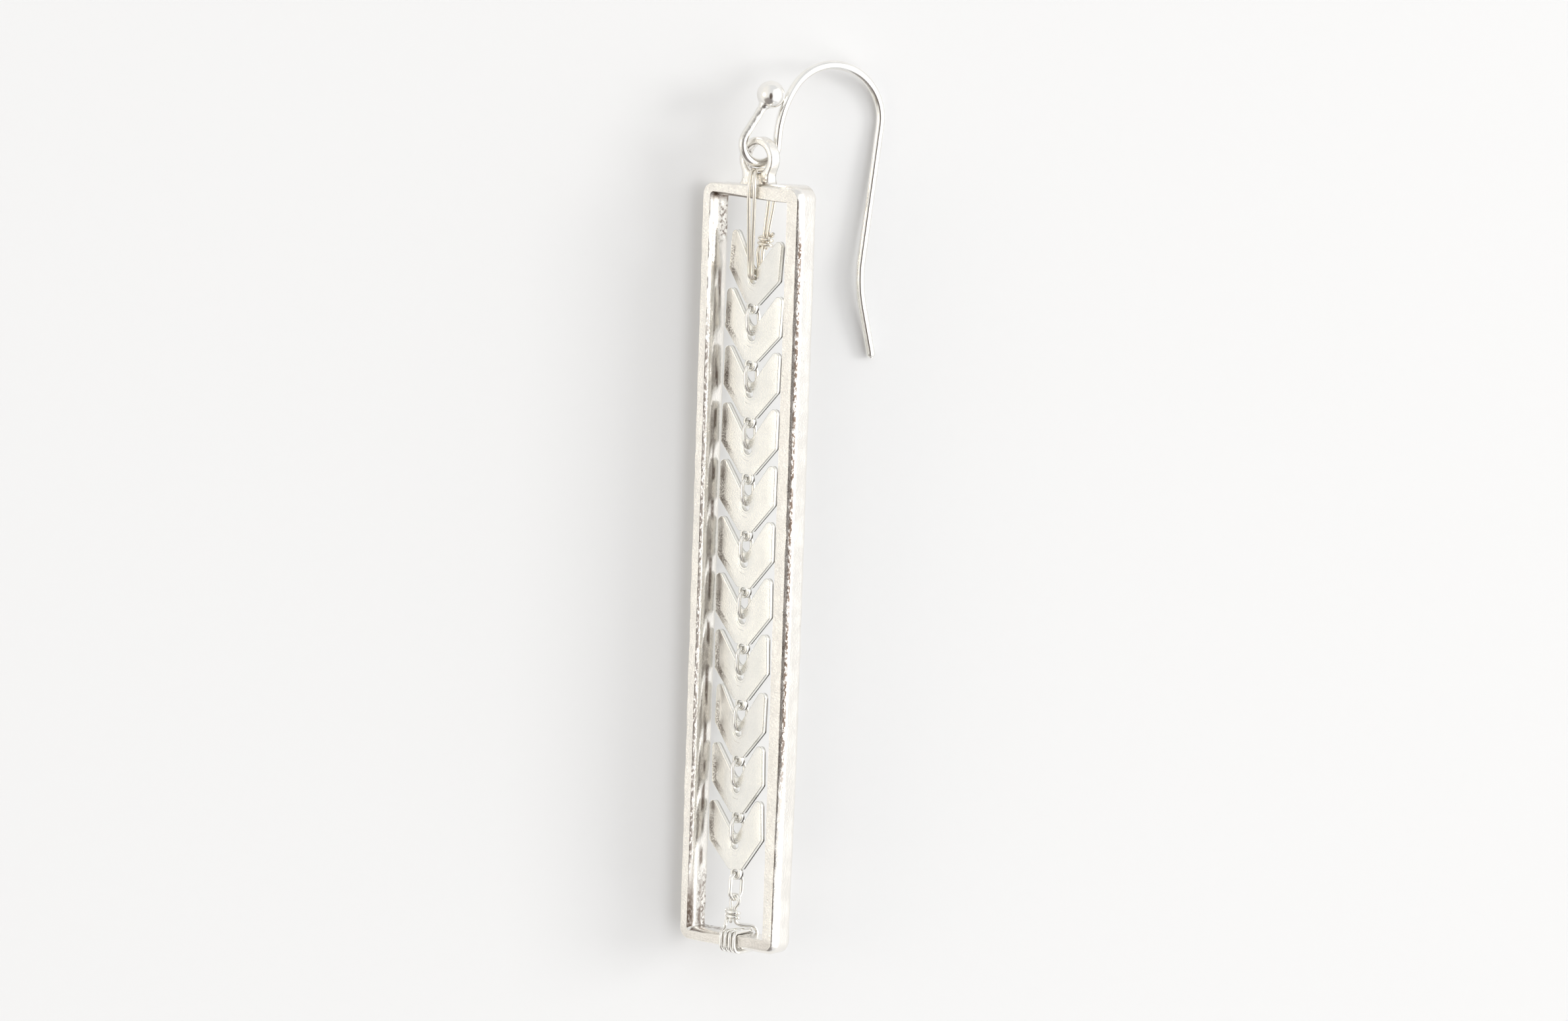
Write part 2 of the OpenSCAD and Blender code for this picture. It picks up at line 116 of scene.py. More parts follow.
class EarWireSizes(bpy.types.PropertyGroup):
    wire_d: length("Wire", "Diameter of the ear wire", 0.76)
    ball_d: length("Ball", "Diameter of the ball", 2.35)
    ball_rise: length("Ball rise", "Height of the ball above the middle of the lower bend", 4.15)
    bend_slack: length("Bend slack", "Free space between the bail and the lower bend", 0.59)
    leg_len: length("Leg", "Straight wire above the lower bend", 0.5)
    leg_bend_r: length("Leg bend", "Radius of the long bend beside the ball", 8.45)
    crown_bend_r: length("Crown bend", "Radius of the bend over the crown", 4.15)
    arch_bend_r: length("Arch bend", "Radius of the bend down the far side", 4.55)
    back_len: length("Back", "Length of the straight back", 11.3)
    tail_bend_r: length("Tail bend", "Radius of the bend that turns the tail out", 12.2)
    tail_len: length("Tail", "Length of the straight tail", 4.5)


class ChainSizes(bpy.types.PropertyGroup):
    count: IntProperty(name="Chevrons", description="Number of chevrons in the chain", default=11)
    chevron_w: length("Width", "Width of a chevron across its wings", 6.2)
    chevron_h: length("Height", "Height of a chevron from its tips to its foot", 5.85)
    chevron_t: length("Thickness", "Thickness of the chevron plate", 0.5)
    wing_side: length("Wing side", "Height of the upright side of a wing", 3.35)
    notch_angle: angle("Notch angle", "Angle of the notch's edges above level", 53)
    hole_r: length("Hole", "Radius of the hole under the notch", 0.42)
    bridge: length("Bridge", "Metal between the notch and the hole", 0.44)
    link_wire_d: length("Ring wire", "Diameter of the wire of a link ring", 0.36)
    link_inner_len: length("Ring length", "Length of a link ring inside its wire", 1.82)
    link_inner_w: length("Ring width", "Width of a link ring inside its wire", 1.03)
    rim_r: length("Plate rim", "Radius on the rim of a chevron plate", 0.07)


class TieWireSizes(bpy.types.PropertyGroup):
    wire_d: length("Soft wire", "Diameter of the soft wire", 0.34)
    hanger_drop: length("Hanger drop", "Drop from the top bar to the first chevron's hole", 6.7)
    wrap_rise: length("Loop rise", "Rise of the lower loop above the bottom bar", 3.25)


class Finishes(bpy.types.PropertyGroup):
    frame_colour: colour("Frame", "Warm silver of the cast frame", (0.93, 0.905, 0.86))
    chevron_colour: colour("Chevrons", "Pale champagne silver of the plates", (0.95, 0.937, 0.89))
    wire_colour: colour("Wires", "Bright silver of the ear wire and rings", (0.93, 0.915, 0.88))
    hanger_colour: colour("Hanger", "Faintly golden silver of the hanger wire", (0.92, 0.875, 0.79))
    dull_colour: colour("Dull wire", "Grey skin left by the flame on the wire below its ball", (0.26, 0.24, 0.22))
    # The tarnish colour is also what the painted shade on the frame and chevrons darkens towards.
    tarnish_and_shade_colour: colour("Tarnish", "Brown tarnish in the hollows", (0.12, 0.078, 0.055))
    frame_roughness: share("Frame roughness", "Roughness of the brushed front of the frame", 0.34)
    wall_roughness: share("Wall roughness", "Roughness of the polished walls of the bars", 0.13)
    chevron_roughness: share("Chevron roughness", "Roughness of the satin plates", 0.20)
    wire_roughness: share("Wire roughness", "Roughness of the polished wires", 0.13)


class StageSettings(bpy.types.PropertyGroup):
    camera_x: length("Camera X", "Where the camera stands across the earring", -23.68)
    camera_y: length("Camera Y", "Where the camera stands along the earring", 61.0)
    camera_z: length("Camera height", "Height of the camera above the floor", 486)
    camera_yaw: angle("Camera yaw", "Turn of the picture about the line of sight", 1.93)
    fill: FloatProperty(name="Fill", description="Share of the picture's height that the earring fills", default=0.88)
    aim_along: length("Aim along", "How far up the earring from its middle the camera looks", 0)
    floor_colour: colour("Floor", "Pale paper under the earring", (0.848, 0.853, 0.861))
    backdrop_colour: colour("Backdrop", "Pale surroundings seen past the floor", (0.91, 0.91, 0.91))
    key_power: FloatProperty(
        name="Key light", description="Power of the soft key light", default=2.3, unit="POWER", min=0
    )
    sky: FloatProperty(name="Sky", description="Strength of the soft light from all round", default=0.95, min=0)


# Places that follow from the sizes


def settings():
    """The scene's property groups, by short name."""
    scene = bpy.context.scene
    return scene.be_frame, scene.be_ear, scene.be_chain, scene.be_tie


class Layout:
    """Where everything is, worked out from the driving sizes as the solids are. Lengths in metres."""

    SEAT_GAP = 0.04 * MM
    WIRE_GAP = 0.06 * MM
    TIP_R = 0.45 * MM
    NOTCH_R = 0.6 * MM
    FOOT_HALF = 0.75 * MM
    EYE_PLAY = 0.14 * MM
    EYE_WALL = 0.26 * MM
    EYE_DROP = 0.3 * MM
    BALL_GAP = 0.04 * MM
    REST_GAP = 0.25 * MM
    LEG_HEADING = math.radians(88)
    TURN = 1
    CHEVRONS = (
        (-4.5, 8),
        (-3, 2),
        (-1.5, 3),
        (-1, 2),
        (-0.5, 2),
        (0.5, 2),
        (1, 2),
        (1.5, 5),
        (-2, 9),
        (1.5, 7),
        (2.5, 5),
    )

    def __init__(self):
        body, ear, chain, tie = settings()
        self.body, self.ear, self.chain, self.tie = body, ear, chain, tie
        self.lay_out_chevron()
        self.lay_out_frame()
        self.lay_out_ear_wire()
        self.place_on_table()

    def lay_out_chevron(self):
        """A chevron's notch, hole and eyelet, where the rings bear in them, and the chain's pitch."""
        c = self.chain
        half_w = c.chevron_w / 2
        self.tip_centre = np.array([half_w - self.TIP_R, -self.TIP_R])
        rise = np.array([-math.sin(c.notch_angle), math.cos(c.notch_angle)])
        notch_start = self.tip_centre + self.TIP_R * rise
        point_y = notch_start[1] - notch_start[0] * math.tan(c.notch_angle)
        self.notch_centre_y = point_y + self.NOTCH_R / math.cos(c.notch_angle)
        self.hole_y = self.notch_centre_y - self.NOTCH_R - c.bridge - c.hole_r
        self.eye_hole_r = c.link_wire_d / 2 + self.EYE_PLAY
        self.eye_r = self.eye_hole_r + self.EYE_WALL
        self.eye_y = -c.chevron_h - self.EYE_DROP
        inner_r = c.link_inner_w / 2
        link_rise = inner_r - math.sqrt(inner_r**2 - (c.chevron_t / 2) ** 2)
        self.hole_seat_y = self.hole_y + c.hole_r - c.link_wire_d / 2 - link_rise - self.SEAT_GAP
        eye_seat_y = self.eye_y - self.eye_hole_r + c.link_wire_d / 2 + link_rise + self.SEAT_GAP
        self.eye_span = self.hole_seat_y - eye_seat_y
        self.pitch = self.eye_span + c.link_inner_len + c.link_wire_d

    def lay_out_frame(self):
        """The frame's size round the chain, its bail, and its height above the table once it is rolled."""
        b, c, t = self.body, self.chain, self.tie
        self.frame_w = c.chevron_w + 2 * b.side_gap + 2 * b.bar_w
        self.loop_top = b.bar_w + t.wrap_rise
        self.chain_foot = self.loop_top - t.wire_d / 2 - c.link_wire_d / 2 - self.SEAT_GAP
        self.frame_len = self.chain_foot + c.count * self.pitch + t.hanger_drop + b.bar_w
        self.bail_r = b.bail_hole_r + b.bail_wall
        self.bail_v = self.frame_len + b.bail_neck + b.bail_hole_r
        edge_x = self.frame_w / 2 - b.edge_r
        edge_n = b.bar_depth / 2 - b.edge_r
        self.lift = edge_x * math.sin(b.roll) + edge_n * math.cos(b.roll) + b.edge_r
        self.left_x = -edge_x * math.cos(b.roll) - edge_n * math.sin(b.roll) - b.edge_r

    def lay_out_ear_wire(self):
        """The ear wire's lower bend, the ball that just clears the leg, and the tilt that brings it to the table."""
        b, e, t = self.body, self.ear, self.tie
        r = e.wire_d / 2
        self.bend_r = b.bail_depth / 2 + r + e.bend_slack
        self.bend_b = -b.bail_hole_r + t.wire_d + 2 * self.WIRE_GAP + r + self.bend_r
        leg = np.array([0, self.bend_b]) + self.bend_r * np.array(
            [math.sin(self.LEG_HEADING), -math.cos(self.LEG_HEADING)]
        )
        run = self.ear_run()
        places, headings = run_places(leg, self.LEG_HEADING, run)
        side = right_side(headings)
        leg_centre = places[1] + e.leg_bend_r * side[1]
        off = e.leg_bend_r + r + self.BALL_GAP + e.ball_d / 2
        rise = self.bend_b + e.ball_rise - leg_centre[1]
        ball_a = leg_centre[0] - math.sqrt(off**2 - rise**2)
        far = math.hypot(ball_a, e.ball_rise)
        self.arm_angle = math.atan2(e.ball_rise, ball_a) + math.acos(self.bend_r / far)
        self.arm_len = math.sqrt(far**2 - self.bend_r**2)
        self.ball = np.array([ball_a, self.bend_b + e.ball_rise])
        arch_centre = places[4] + e.arch_bend_r * side[4]
        self.ear_reach = max(arch_centre[0] + e.arch_bend_r, places[-1][0])
        self.tilt = math.asin((self.lift - r) / self.ear_reach)
        self.crown_b = (places[3] + e.crown_bend_r * side[3])[1] + e.crown_bend_r

    def ear_run(self):
        """Steps of the ear wire from the lower bend to its tip: a radius or length, and a turn."""
        e = self.ear
        return [
            (e.leg_len, 0),
            (e.leg_bend_r, math.radians(-31.8)),
            (e.crown_bend_r, math.radians(-65.6)),
            (e.arch_bend_r, math.radians(-87)),
            (e.back_len, 0),
            (e.tail_bend_r, math.radians(19.3)),
            (e.tail_len, 0),
        ]

    def place_on_table(self):
        """The middle of the part's own box, which is the origin."""
        e, t = self.ear, self.tie
        right_x = self.ear_reach * math.cos(self.tilt) + e.wire_d / 2
        top_y = self.bail_v + self.crown_b + e.wire_d / 2
        self.middle = ((self.left_x + right_x) / 2, (top_y - t.wire_d - self.WIRE_GAP) / 2)

    def on_table(self, points):
        """Points in the frame's own axes, rolled over the left bar and lifted onto the table."""
        c, s = math.cos(self.body.roll), math.sin(self.body.roll)
        x, y, z = np.moveaxis(np.asarray(points), -1, 0)
        return np.stack([x * c - z * s - self.middle[0], y - self.middle[1], x * s + z * c + self.lift], -1)

    def on_ear_plane(self, points):
        """Points in the ear wire's own plane, leant down to the table about the bail."""
        c, s = math.cos(self.tilt), math.sin(self.tilt)
        x, y, z = np.moveaxis(np.asarray(points), -1, 0)
        return np.stack(
            [x * c + z * s - self.middle[0], y + self.bail_v - self.middle[1], z * c - x * s + self.lift], -1
        )

    def beside_table(self, points):
        """Points given along and square to the table, measured from the frame's middle line, moved onto it."""
        return np.asarray(points) + np.array([-self.middle[0], -self.middle[1], self.lift])

    def hole_at(self, i):
        """Where the ring bears in chevron i's hole, square to the table: the slack chain sags most at its middle,
        and its last ring ends on the frame's middle line."""
        v = self.chain_foot + (self.chain.count - i + 1) * self.pitch
        under = self.frame_len - self.body.bar_w
        down = (under - v) / (under - self.chain_foot)
        most = (self.body.side_gap - self.REST_GAP) / math.sin(self.body.roll)
        return np.array([0, v, -most * (1 - (2 * down - 1) ** 4)])

    def chevron_turn(self, i):
        """Rotation of chevron i: its lean in the plate's plane, then its roll, then its tip along the chain."""
        lean, turn = (math.radians(a) for a in self.CHEVRONS[i - 1])
        along = self.hole_at(i) - self.hole_at(i + 1)
        tip = math.atan2(along[2], along[1])
        return rotation_x(tip) @ rotation_y(-self.body.roll - turn) @ rotation_z(lean)

    def eye_at(self, i):
        """Where the next ring bears in chevron i's eyelet."""
        return self.hole_at(i) + self.chevron_turn(i) @ np.array([0, -self.eye_span, 0])


def rotation_x(a):
    """Turn by an angle about x, as a matrix."""
    return np.array([[1, 0, 0], [0, math.cos(a), -math.sin(a)], [0, math.sin(a), math.cos(a)]])


def rotation_y(a):
    """Turn by an angle about y, as a matrix."""
    return np.array([[math.cos(a), 0, math.sin(a)], [0, 1, 0], [-math.sin(a), 0, math.cos(a)]])


def rotation_z(a):
    """Turn by an angle about z, as a matrix."""
    return np.array([[math.cos(a), -math.sin(a), 0], [math.sin(a), math.cos(a), 0], [0, 0, 1]])


def right_side(headings):
    """Unit vectors to the right of each heading, in the plane."""
    h = np.asarray(headings)
    return np.stack([np.sin(h), -np.cos(h)], -1)


def run_places(start, heading, run):
    """Position and heading at the start of each step of a run and at its end. A straight step moves on by its
    length. A bend turns about a centre one radius to its own side."""
    places, headings = [np.asarray(start, float)], [heading]
    for size, turn in run:
        at, h = places[-1], headings[-1]
        if turn == 0:
            places.append(at + size * np.array([math.cos(h), math.sin(h)]))
        else:
            hand = math.copysign(1, turn)
            centre = at - hand * size * right_side(h)
            places.append(centre + hand * size * right_side(h + turn))
        headings.append(h + turn)
    return places, headings


# Surfaces worked out as whole arrays


def run_line(start, heading, run, spacing):
    """Line along a run of straights and bends, with a point every spacing or closer, its tangents and the distance
    gone at each. Between two places a bend's heading grows evenly with the distance."""
    places, headings = run_places(start, heading, run)
    points, tangents, gone = [], [], []
    done = 0.0
    for (size, turn), at, h in zip(run, places, headings):
        step_len = size if turn == 0 else size * abs(turn)
        t = np.linspace(0, 1, max(2, math.ceil(step_len / spacing)), endpoint=False)
        angles = h + turn * t
        if turn == 0:
            points.append(at + np.outer(t * size, [math.cos(h), math.sin(h)]))
        else:
            hand = math.copysign(1, turn)
            points.append(at - hand * size * right_side(h) + hand * size * right_side(angles))
        tangents.append(np.stack([np.cos(angles), np.sin(angles)], -1))
        gone.append(done + t * step_len)
        done += step_len
    points.append(places[-1][None])
    tangents.append(np.array([[math.cos(headings[-1]), math.sin(headings[-1])]]))
    gone.append(np.array([done]))
    return np.concatenate(points), np.concatenate(tangents), np.concatenate(gone)


def smoothed(points, rounds):
    """A line with its corners cut: each round puts two points on every leg, a quarter in from its ends, so that
    it nears a quadratic spline. The first and last points stay."""
    p = np.asarray(points, float)
    for _ in range(rounds):
        cut = np.stack([0.75 * p[:-1] + 0.25 * p[1:], 0.25 * p[:-1] + 0.75 * p[1:]], 1).reshape(-1, 3)
        p = np.concatenate([p[:1], cut, p[-1:]])
    return p


def resampled(points, spacing):
    """The same line with points at even distances, each on a leg between two of the old ones."""
    gone = np.concatenate([[0], np.cumsum(np.linalg.norm(np.diff(points, axis=0), axis=1))])
    even = np.linspace(0, gone[-1], math.ceil(gone[-1] / spacing) + 1)
    return np.stack([np.interp(even, gone, points[:, k]) for k in range(3)], -1)


def ripple(points, amplitude, size, seed, waves=14):
    """Gentle unevenness of a cast or hand-bent surface: the mean of sine waves whose directions and phases are
    drawn once from a seed, with wavelengths from size to three times size."""
    draw = np.random.default_rng(seed)
    direction = draw.normal(size=(waves, 3))
    direction /= np.linalg.norm(direction, axis=1)[:, None]
    rate = 2 * math.pi / (size * draw.uniform(1, 3, waves))
    phase = draw.uniform(0, 2 * math.pi, waves)
    total = np.zeros(points.shape[:-1])
    for k in range(waves):
        total += np.sin(points @ (direction[k] * rate[k]) + phase[k])
    return amplitude * total / math.sqrt(waves)


def surface_mesh(name, grid, uv, closed_u, closed_v, poles=(None, None), masks=None):
    """Mesh of a grid of points, rows along u and columns round v, with four corners to a face, smooth shaded.
    closed_u or closed_v joins the last row or column to the first. A pole is a point that closes the first or
    last row. uv holds distances along and round the surface in metres, and masks holds a value from 0 to 1 for
    each point under the name that the materials read."""
    rows, cols = grid.shape[:2]
    u = np.arange(rows if closed_u else rows - 1)
    v = np.arange(cols if closed_v else cols - 1)
    uu, vv = np.meshgrid(u, v, indexing="ij")
    un, vn = (uu + 1) % rows, (vv + 1) % cols
    quads = np.stack([uu * cols + vv, un * cols + vv, un * cols + vn, uu * cols + vn], -1).reshape(-1, 4)
    points = grid.reshape(-1, 3)
    corner_uv = [corner_values(uv, uu, vv, closed_u, closed_v)]
    faces = [quads.ravel()]
    totals = [np.full(len(quads), 4)]
    for at_end, pole in enumerate(poles):
        if pole is None:
            continue
        row = (rows - 1) * at_end
        ring = row * cols + np.arange(cols)
        after = np.roll(ring, -1)
        centre = np.full(cols, len(points))
        fan = np.stack([ring, after, centre] if at_end else [after, ring, centre], -1)
        points = np.concatenate([points, [pole]])
        faces.append(fan.ravel())
        totals.append(np.full(cols, 3))
        corner_uv.append(np.repeat(uv[row], 3, axis=0))
    mesh = bpy.data.meshes.new(name)
    loops = np.concatenate(faces).astype(np.int32)
    counts = np.concatenate(totals).astype(np.int32)
    mesh.vertices.add(len(points))
    mesh.vertices.foreach_set("co", points.astype(np.float32).ravel())
    mesh.loops.add(len(loops))
    mesh.loops.foreach_set("vertex_index", loops)
    mesh.polygons.add(len(counts))
    mesh.polygons.foreach_set("loop_start", np.concatenate([[0], np.cumsum(counts)[:-1]]).astype(np.int32))
    mesh.polygons.foreach_set("use_smooth", np.ones(len(counts), bool))
    layer = mesh.uv_layers.new(name="Along")
    layer.data.foreach_set("uv", np.concatenate(corner_uv).astype(np.float32).ravel())
    for key, values in (masks or {}).items():
        flat = np.zeros(len(points), np.float32)
        flat[: rows * cols] = np.broadcast_to(values, (rows, cols)).ravel()
        mesh.attributes.new(key, "FLOAT", "POINT").data.foreach_set("value", flat)
    mesh.update(calc_edges=True)
    mesh.validate()
    return mesh


def corner_values(uv, uu, vv, closed_u, closed_v):
    """Distances at the four corners of each face. Past a closing seam the distance goes on and doesn't jump back
    to nought, one mean step further than the last one."""
    rows, cols = uv.shape[:2]
    wide = uv
    if closed_v:
        step = wide[:, -1:] - wide[:, -2:-1]
        wide = np.concatenate([wide, wide[:, -1:] + step], 1)
    if closed_u:
        step = wide[-1:] - wide[-2:-1]
        wide = np.concatenate([wide, wide[-1:] + step], 0)
    corners = [wide[uu, vv], wide[uu + 1, vv], wide[uu + 1, vv + 1], wide[uu, vv + 1]]
    return np.stack(corners, 2).reshape(-1, 2)


def joined(name, meshes):
    """One mesh of several, with their faces, smoothness and maps kept."""
    objects = [bpy.data.objects.new(f"{name}_{k}", m) for k, m in enumerate(meshes)]
    for o in objects:
        bpy.context.scene.collection.objects.link(o)
    with bpy.context.temp_override(active_object=objects[0], selected_editable_objects=objects):
        bpy.ops.object.join()
    mesh = objects[0].data
    bpy.data.objects.remove(objects[0])
    mesh.name = name
    return mesh


def round_section(sides):
    """Unit circle, as the cosine and sine of even angles."""
    a = np.arange(sides) * 2 * math.pi / sides
    return np.cos(a), np.sin(a)


def carried_sides(points):
    """Tangents along a line and a side vector carried along it with the least twist: each is the last one with
    its part along the new tangent taken away."""
    tangents = np.gradient(points, axis=0)
    tangents /= np.linalg.norm(tangents, axis=1)[:, None]
    first = np.array([1.0, 0, 0]) if abs(tangents[0][0]) < 0.8 else np.array([0, 1.0, 0])
    sides = np.zeros_like(points)
    for k, t in enumerate(tangents):
        first = first - (first @ t) * t
        first /= np.linalg.norm(first)
        sides[k] = first
    return tangents, sides


def wire_mesh(name, points, radius, sides):
    """Round wire: circles of the given radius, square to the line, carried along it with the least twist. Both
    ends are rounded by rows whose radius falls as a quarter circle."""
    tangents, side = carried_sides(points)
    gone = np.concatenate([[0], np.cumsum(np.linalg.norm(np.diff(points, axis=0), axis=1))])
    reach = np.minimum(gone, gone[-1] - gone) / radius
    r = radius * np.where(reach < 1, np.sqrt(np.clip(1 - (1 - reach) ** 2, 0.02, 1)), 1)
    cos, sin = round_section(sides)
    across = np.cross(tangents, side)
    grid = points[:, None] + r[:, None, None] * (side[:, None] * cos[:, None] + across[:, None] * sin[:, None])
    around = np.arange(sides) * 2 * math.pi * radius / sides
    uv = np.stack(np.broadcast_arrays(gone[:, None], around[None]), -1)
    return surface_mesh(name, grid, uv, False, True, (points[0], points[-1]))


# Pieces


def add_piece(name, mesh, nodes, material):
    """Puts a mesh in the scene as the piece that stands for the named solids."""
    piece = bpy.data.objects.new(name, mesh)
    bpy.context.scene.collection.objects.link(piece)
    mesh.materials.append(material)
    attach(piece, BODY)
    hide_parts(*nodes)
    return piece


def front_corner(crisp_r, meet, soft_r):
    """Distances across the face and down the wall of a front corner: it leaves the face in a small arc and, once
    its normal has turned to the meeting angle, runs into the wall in a large one."""
    near = np.radians(np.linspace(0, meet, 6))
    far = np.radians(np.linspace(meet, 90, 13))[1:]
    sin_meet, cos_meet = np.sin(near[-1]), np.cos(near[-1])
    near_down = crisp_r * (1 - np.cos(near))
    across = np.concatenate([crisp_r * np.sin(near), crisp_r * sin_meet + soft_r * (np.sin(far) - sin_meet)])
    down = np.concatenate([near_down, near_down[-1] + soft_r * (cos_meet - np.cos(far))])
    return np.stack([across, down], -1)


def bar_section(inner_q, outer_q, depth, back_r, inner, outer):
    """Outline of a bar across its length, as distance q out from the window and height n, going from the front
    face outwards. The front corners are given as distances across the face and down the wall, and the back ones
    are quarter circles."""
    half = depth / 2
    front_outer = np.array([outer_q - outer[-1, 0], half]) + outer * [1, -1]
    front_inner = (np.array([inner_q + inner[-1, 0], half]) - inner)[::-1]
    a = np.radians(np.linspace(0, -90, 7))
    back = back_r * np.stack([np.cos(a), np.sin(a)], -1)
    back_outer = np.array([outer_q - back_r, back_r - half]) + back
    back_inner = np.array([inner_q + back_r, back_r - half]) + back[::-1] * [-1, 1]
    arcs = (front_outer, back_outer, back_inner, front_inner)
    points = []
    for arc_points, after in zip(arcs, (*arcs[1:], arcs[0])):
        t = np.linspace(0, 1, 9)[1:-1, None]
        points += [arc_points, arc_points[-1] + (after[0] - arc_points[-1]) * t]
    return np.concatenate(points)


def frame_loop(layout, q, per_long, per_short, per_corner):
    """The closed loop round the frame at distance q out from the window, for every q at once: a rectangle whose
    half sizes grow by q and whose corner radius goes evenly from the window's to the frame's. Returns the loop's
    points and its outward directions, both as rows along the loop and columns for q."""
    b = layout.body
    half_x = layout.frame_w / 2 - b.bar_w + q
    half_y = layout.frame_len / 2 - b.bar_w + q
    radius = b.window_r + (b.corner_r - b.window_r) * q / b.bar_w
    points, outward = [], []
    counts = [per_long, per_short]
    for k in range(4):
        turn = math.pi / 2 * k
        a = turn + np.linspace(0, math.pi / 2, per_corner)[:, None]
        sx = 1 if k in (0, 3) else -1
        sy = 1 if k in (0, 1) else -1
        cx, cy = sx * (half_x - radius), sy * (half_y - radius)
        arc = np.stack([cx + radius * np.cos(a), cy + radius * np.sin(a)], -1)
        direction = np.stack(np.broadcast_arrays(np.cos(a), np.sin(a) + 0 * q), -1)
        j = (k + 1) % 4
        sx2 = 1 if j in (0, 3) else -1
        sy2 = 1 if j in (0, 1) else -1
        end = turn + math.pi / 2
        target = np.stack(
            [sx2 * (half_x - radius) + radius * math.cos(end), sy2 * (half_y - radius) + radius * math.sin(end)], -1
        )
        t = np.linspace(0, 1, counts[(k + 1) % 2] + 1)[1:-1, None, None]
        straight = arc[-1] + (target - arc[-1]) * t
        points += [arc, straight]
        outward += [np.broadcast_to(direction, arc.shape), np.broadcast_to(direction[-1], straight.shape)]
    return np.concatenate(points), np.concatenate(outward)


def smooth_step(low, high, x):
    """0 up to low, 1 from high on, and an even S between them."""
    t = np.clip((x - low) / (high - low), 0, 1)
    return t * t * (3 - 2 * t)


def frame_sections(layout):
    """Outlines of the left bar, of the right bar and of the right bar's worn foot, point for point alike. The left
    bar is soft towards the window, and the right bar away from it."""
    b = layout.body
    crisp = front_corner(2 * b.crisp_r, 45, 2 * b.crisp_r)
    soft_left = front_corner(b.crisp_r, 50, b.soft_r)
    soft_right = front_corner(b.crisp_r, 45, 0.8 * b.soft_r)
    soft_foot = front_corner(b.foot_r, 45, 0.8 * b.soft_r)
    return (
        bar_section(0, b.bar_w - b.left_trim, b.bar_depth, b.edge_r, soft_left, crisp),
        bar_section(-b.right_in, b.bar_w + b.right_out, b.bar_depth, b.edge_r, crisp, soft_right),
        bar_section(-b.right_in, b.bar_w, b.bar_depth, b.edge_r, crisp, soft_foot),
    )


def pitted_share(layout, grid, inner):
    """Where the left bar's inner wall is pitted: its rear part, near the bar's two ends."""
    x, v, n = np.moveaxis(grid, -1, 0)
    from_top = layout.frame_len - layout.body.bar_w - v
    below = layout.body.bar_depth / 2 - n
    near_ends = np.maximum(smooth_step(4.5 * MM, 3 * MM, from_top), smooth_step(7 * MM, 4 * MM, v))
    return inner * (x < 0) * smooth_step(0.8 * MM, 1.1 * MM, below) * near_ends


def frame_masks(layout, grid, outward, normal, inner):
    """Where the bars are polished, rubbed and darkened by painted shade. Polished is all but the faces. Rubbed are a
    band along the right bar's outer front edge and a thin line along the left bar's inner one. Painted shade and
    painted reflection lie in a broken stripe down the left bar's inner wall, on the front of that wall near its foot
    and in its top corner, on the top bar's underside and, lightly, on the foot of the frame."""
    b = layout.body
    x, v, n = np.moveaxis(grid, -1, 0)
    from_top = layout.frame_len - b.bar_w - v
    below = b.bar_depth / 2 - n
    on_left, on_right, on_top = outward[..., 0] < -0.9, outward[..., 0] > 0.9, outward[..., 1] > 0.9
    across = normal[..., 0]
    face = smooth_step(0.8, 0.97, np.abs(normal[..., 1]))

    band = on_right * (across > 0.3) * smooth_step(0.56 * MM, 0.44 * MM, below)
    band = band * (0.5 + 0.5 * smooth_step(0.05 * MM, 0.25 * MM, below)) * smooth_step(0.3 * MM, 4 * MM, from_top)
    band = band * (0.4 * smooth_step(2 * MM, 8 * MM, v) + 0.6 * smooth_step(10 * MM, 20 * MM, v))
    thin = on_left * (across < -0.3) * smooth_step(0.28 * MM, 0.18 * MM, below)
    thin = thin * smooth_step(6 * MM, 14 * MM, from_top) * smooth_step(3 * MM, 8 * MM, v)

    # Painted reflection: a broken dark stripe down the left bar's inner wall, at the depth where dark surroundings
    # are seen in it.
    broken = smooth_step(-0.5, 0.3, ripple(grid * [0, 1, 2.5], 1, 1.7 * MM, 33))
    stripe = inner * (x < 0) * np.exp(-(((below - 1.28 * MM) / (0.22 * MM)) ** 4)) * broken
    stripe = stripe * smooth_step(4 * MM, 7 * MM, from_top)
    # Painted shade on the front of the left bar's inner wall, near the window's lower corner.
    low_edge = on_left * (across < -0.5) * smooth_step(0.75 * MM, 0.3 * MM, below) * smooth_step(8 * MM, 2.5 * MM, v)
    window_x = layout.chain.chevron_w / 2 + b.side_gap
    # Painted shade in the window's top left corner.
    corner = np.exp(-(((x + window_x) ** 2 + from_top**2) / (0.36 * MM) ** 2)) * (1 - face)
    # Painted shade under the top bar.
    under = on_top * (across < -0.5) * smooth_step(0.6 * MM, 0.3 * MM, below)
    # Painted shade on the front face of the bottom bar, stronger to the right.
    foot = smooth_step(1.6 * MM, 0.9 * MM, v) * face * (0.35 + 0.5 * smooth_step(1 * MM, 4.5 * MM, x))
    # Together, the painted shade and painted reflection of the frame.
    painted_shade = np.clip(0.9 * stripe + 0.35 * foot + 0.95 * low_edge + corner + 0.7 * under, 0, 1)
    return {"Polish": 1 - face, "Rubbed": band + 0.8 * thin, "PaintedShade": painted_shade}


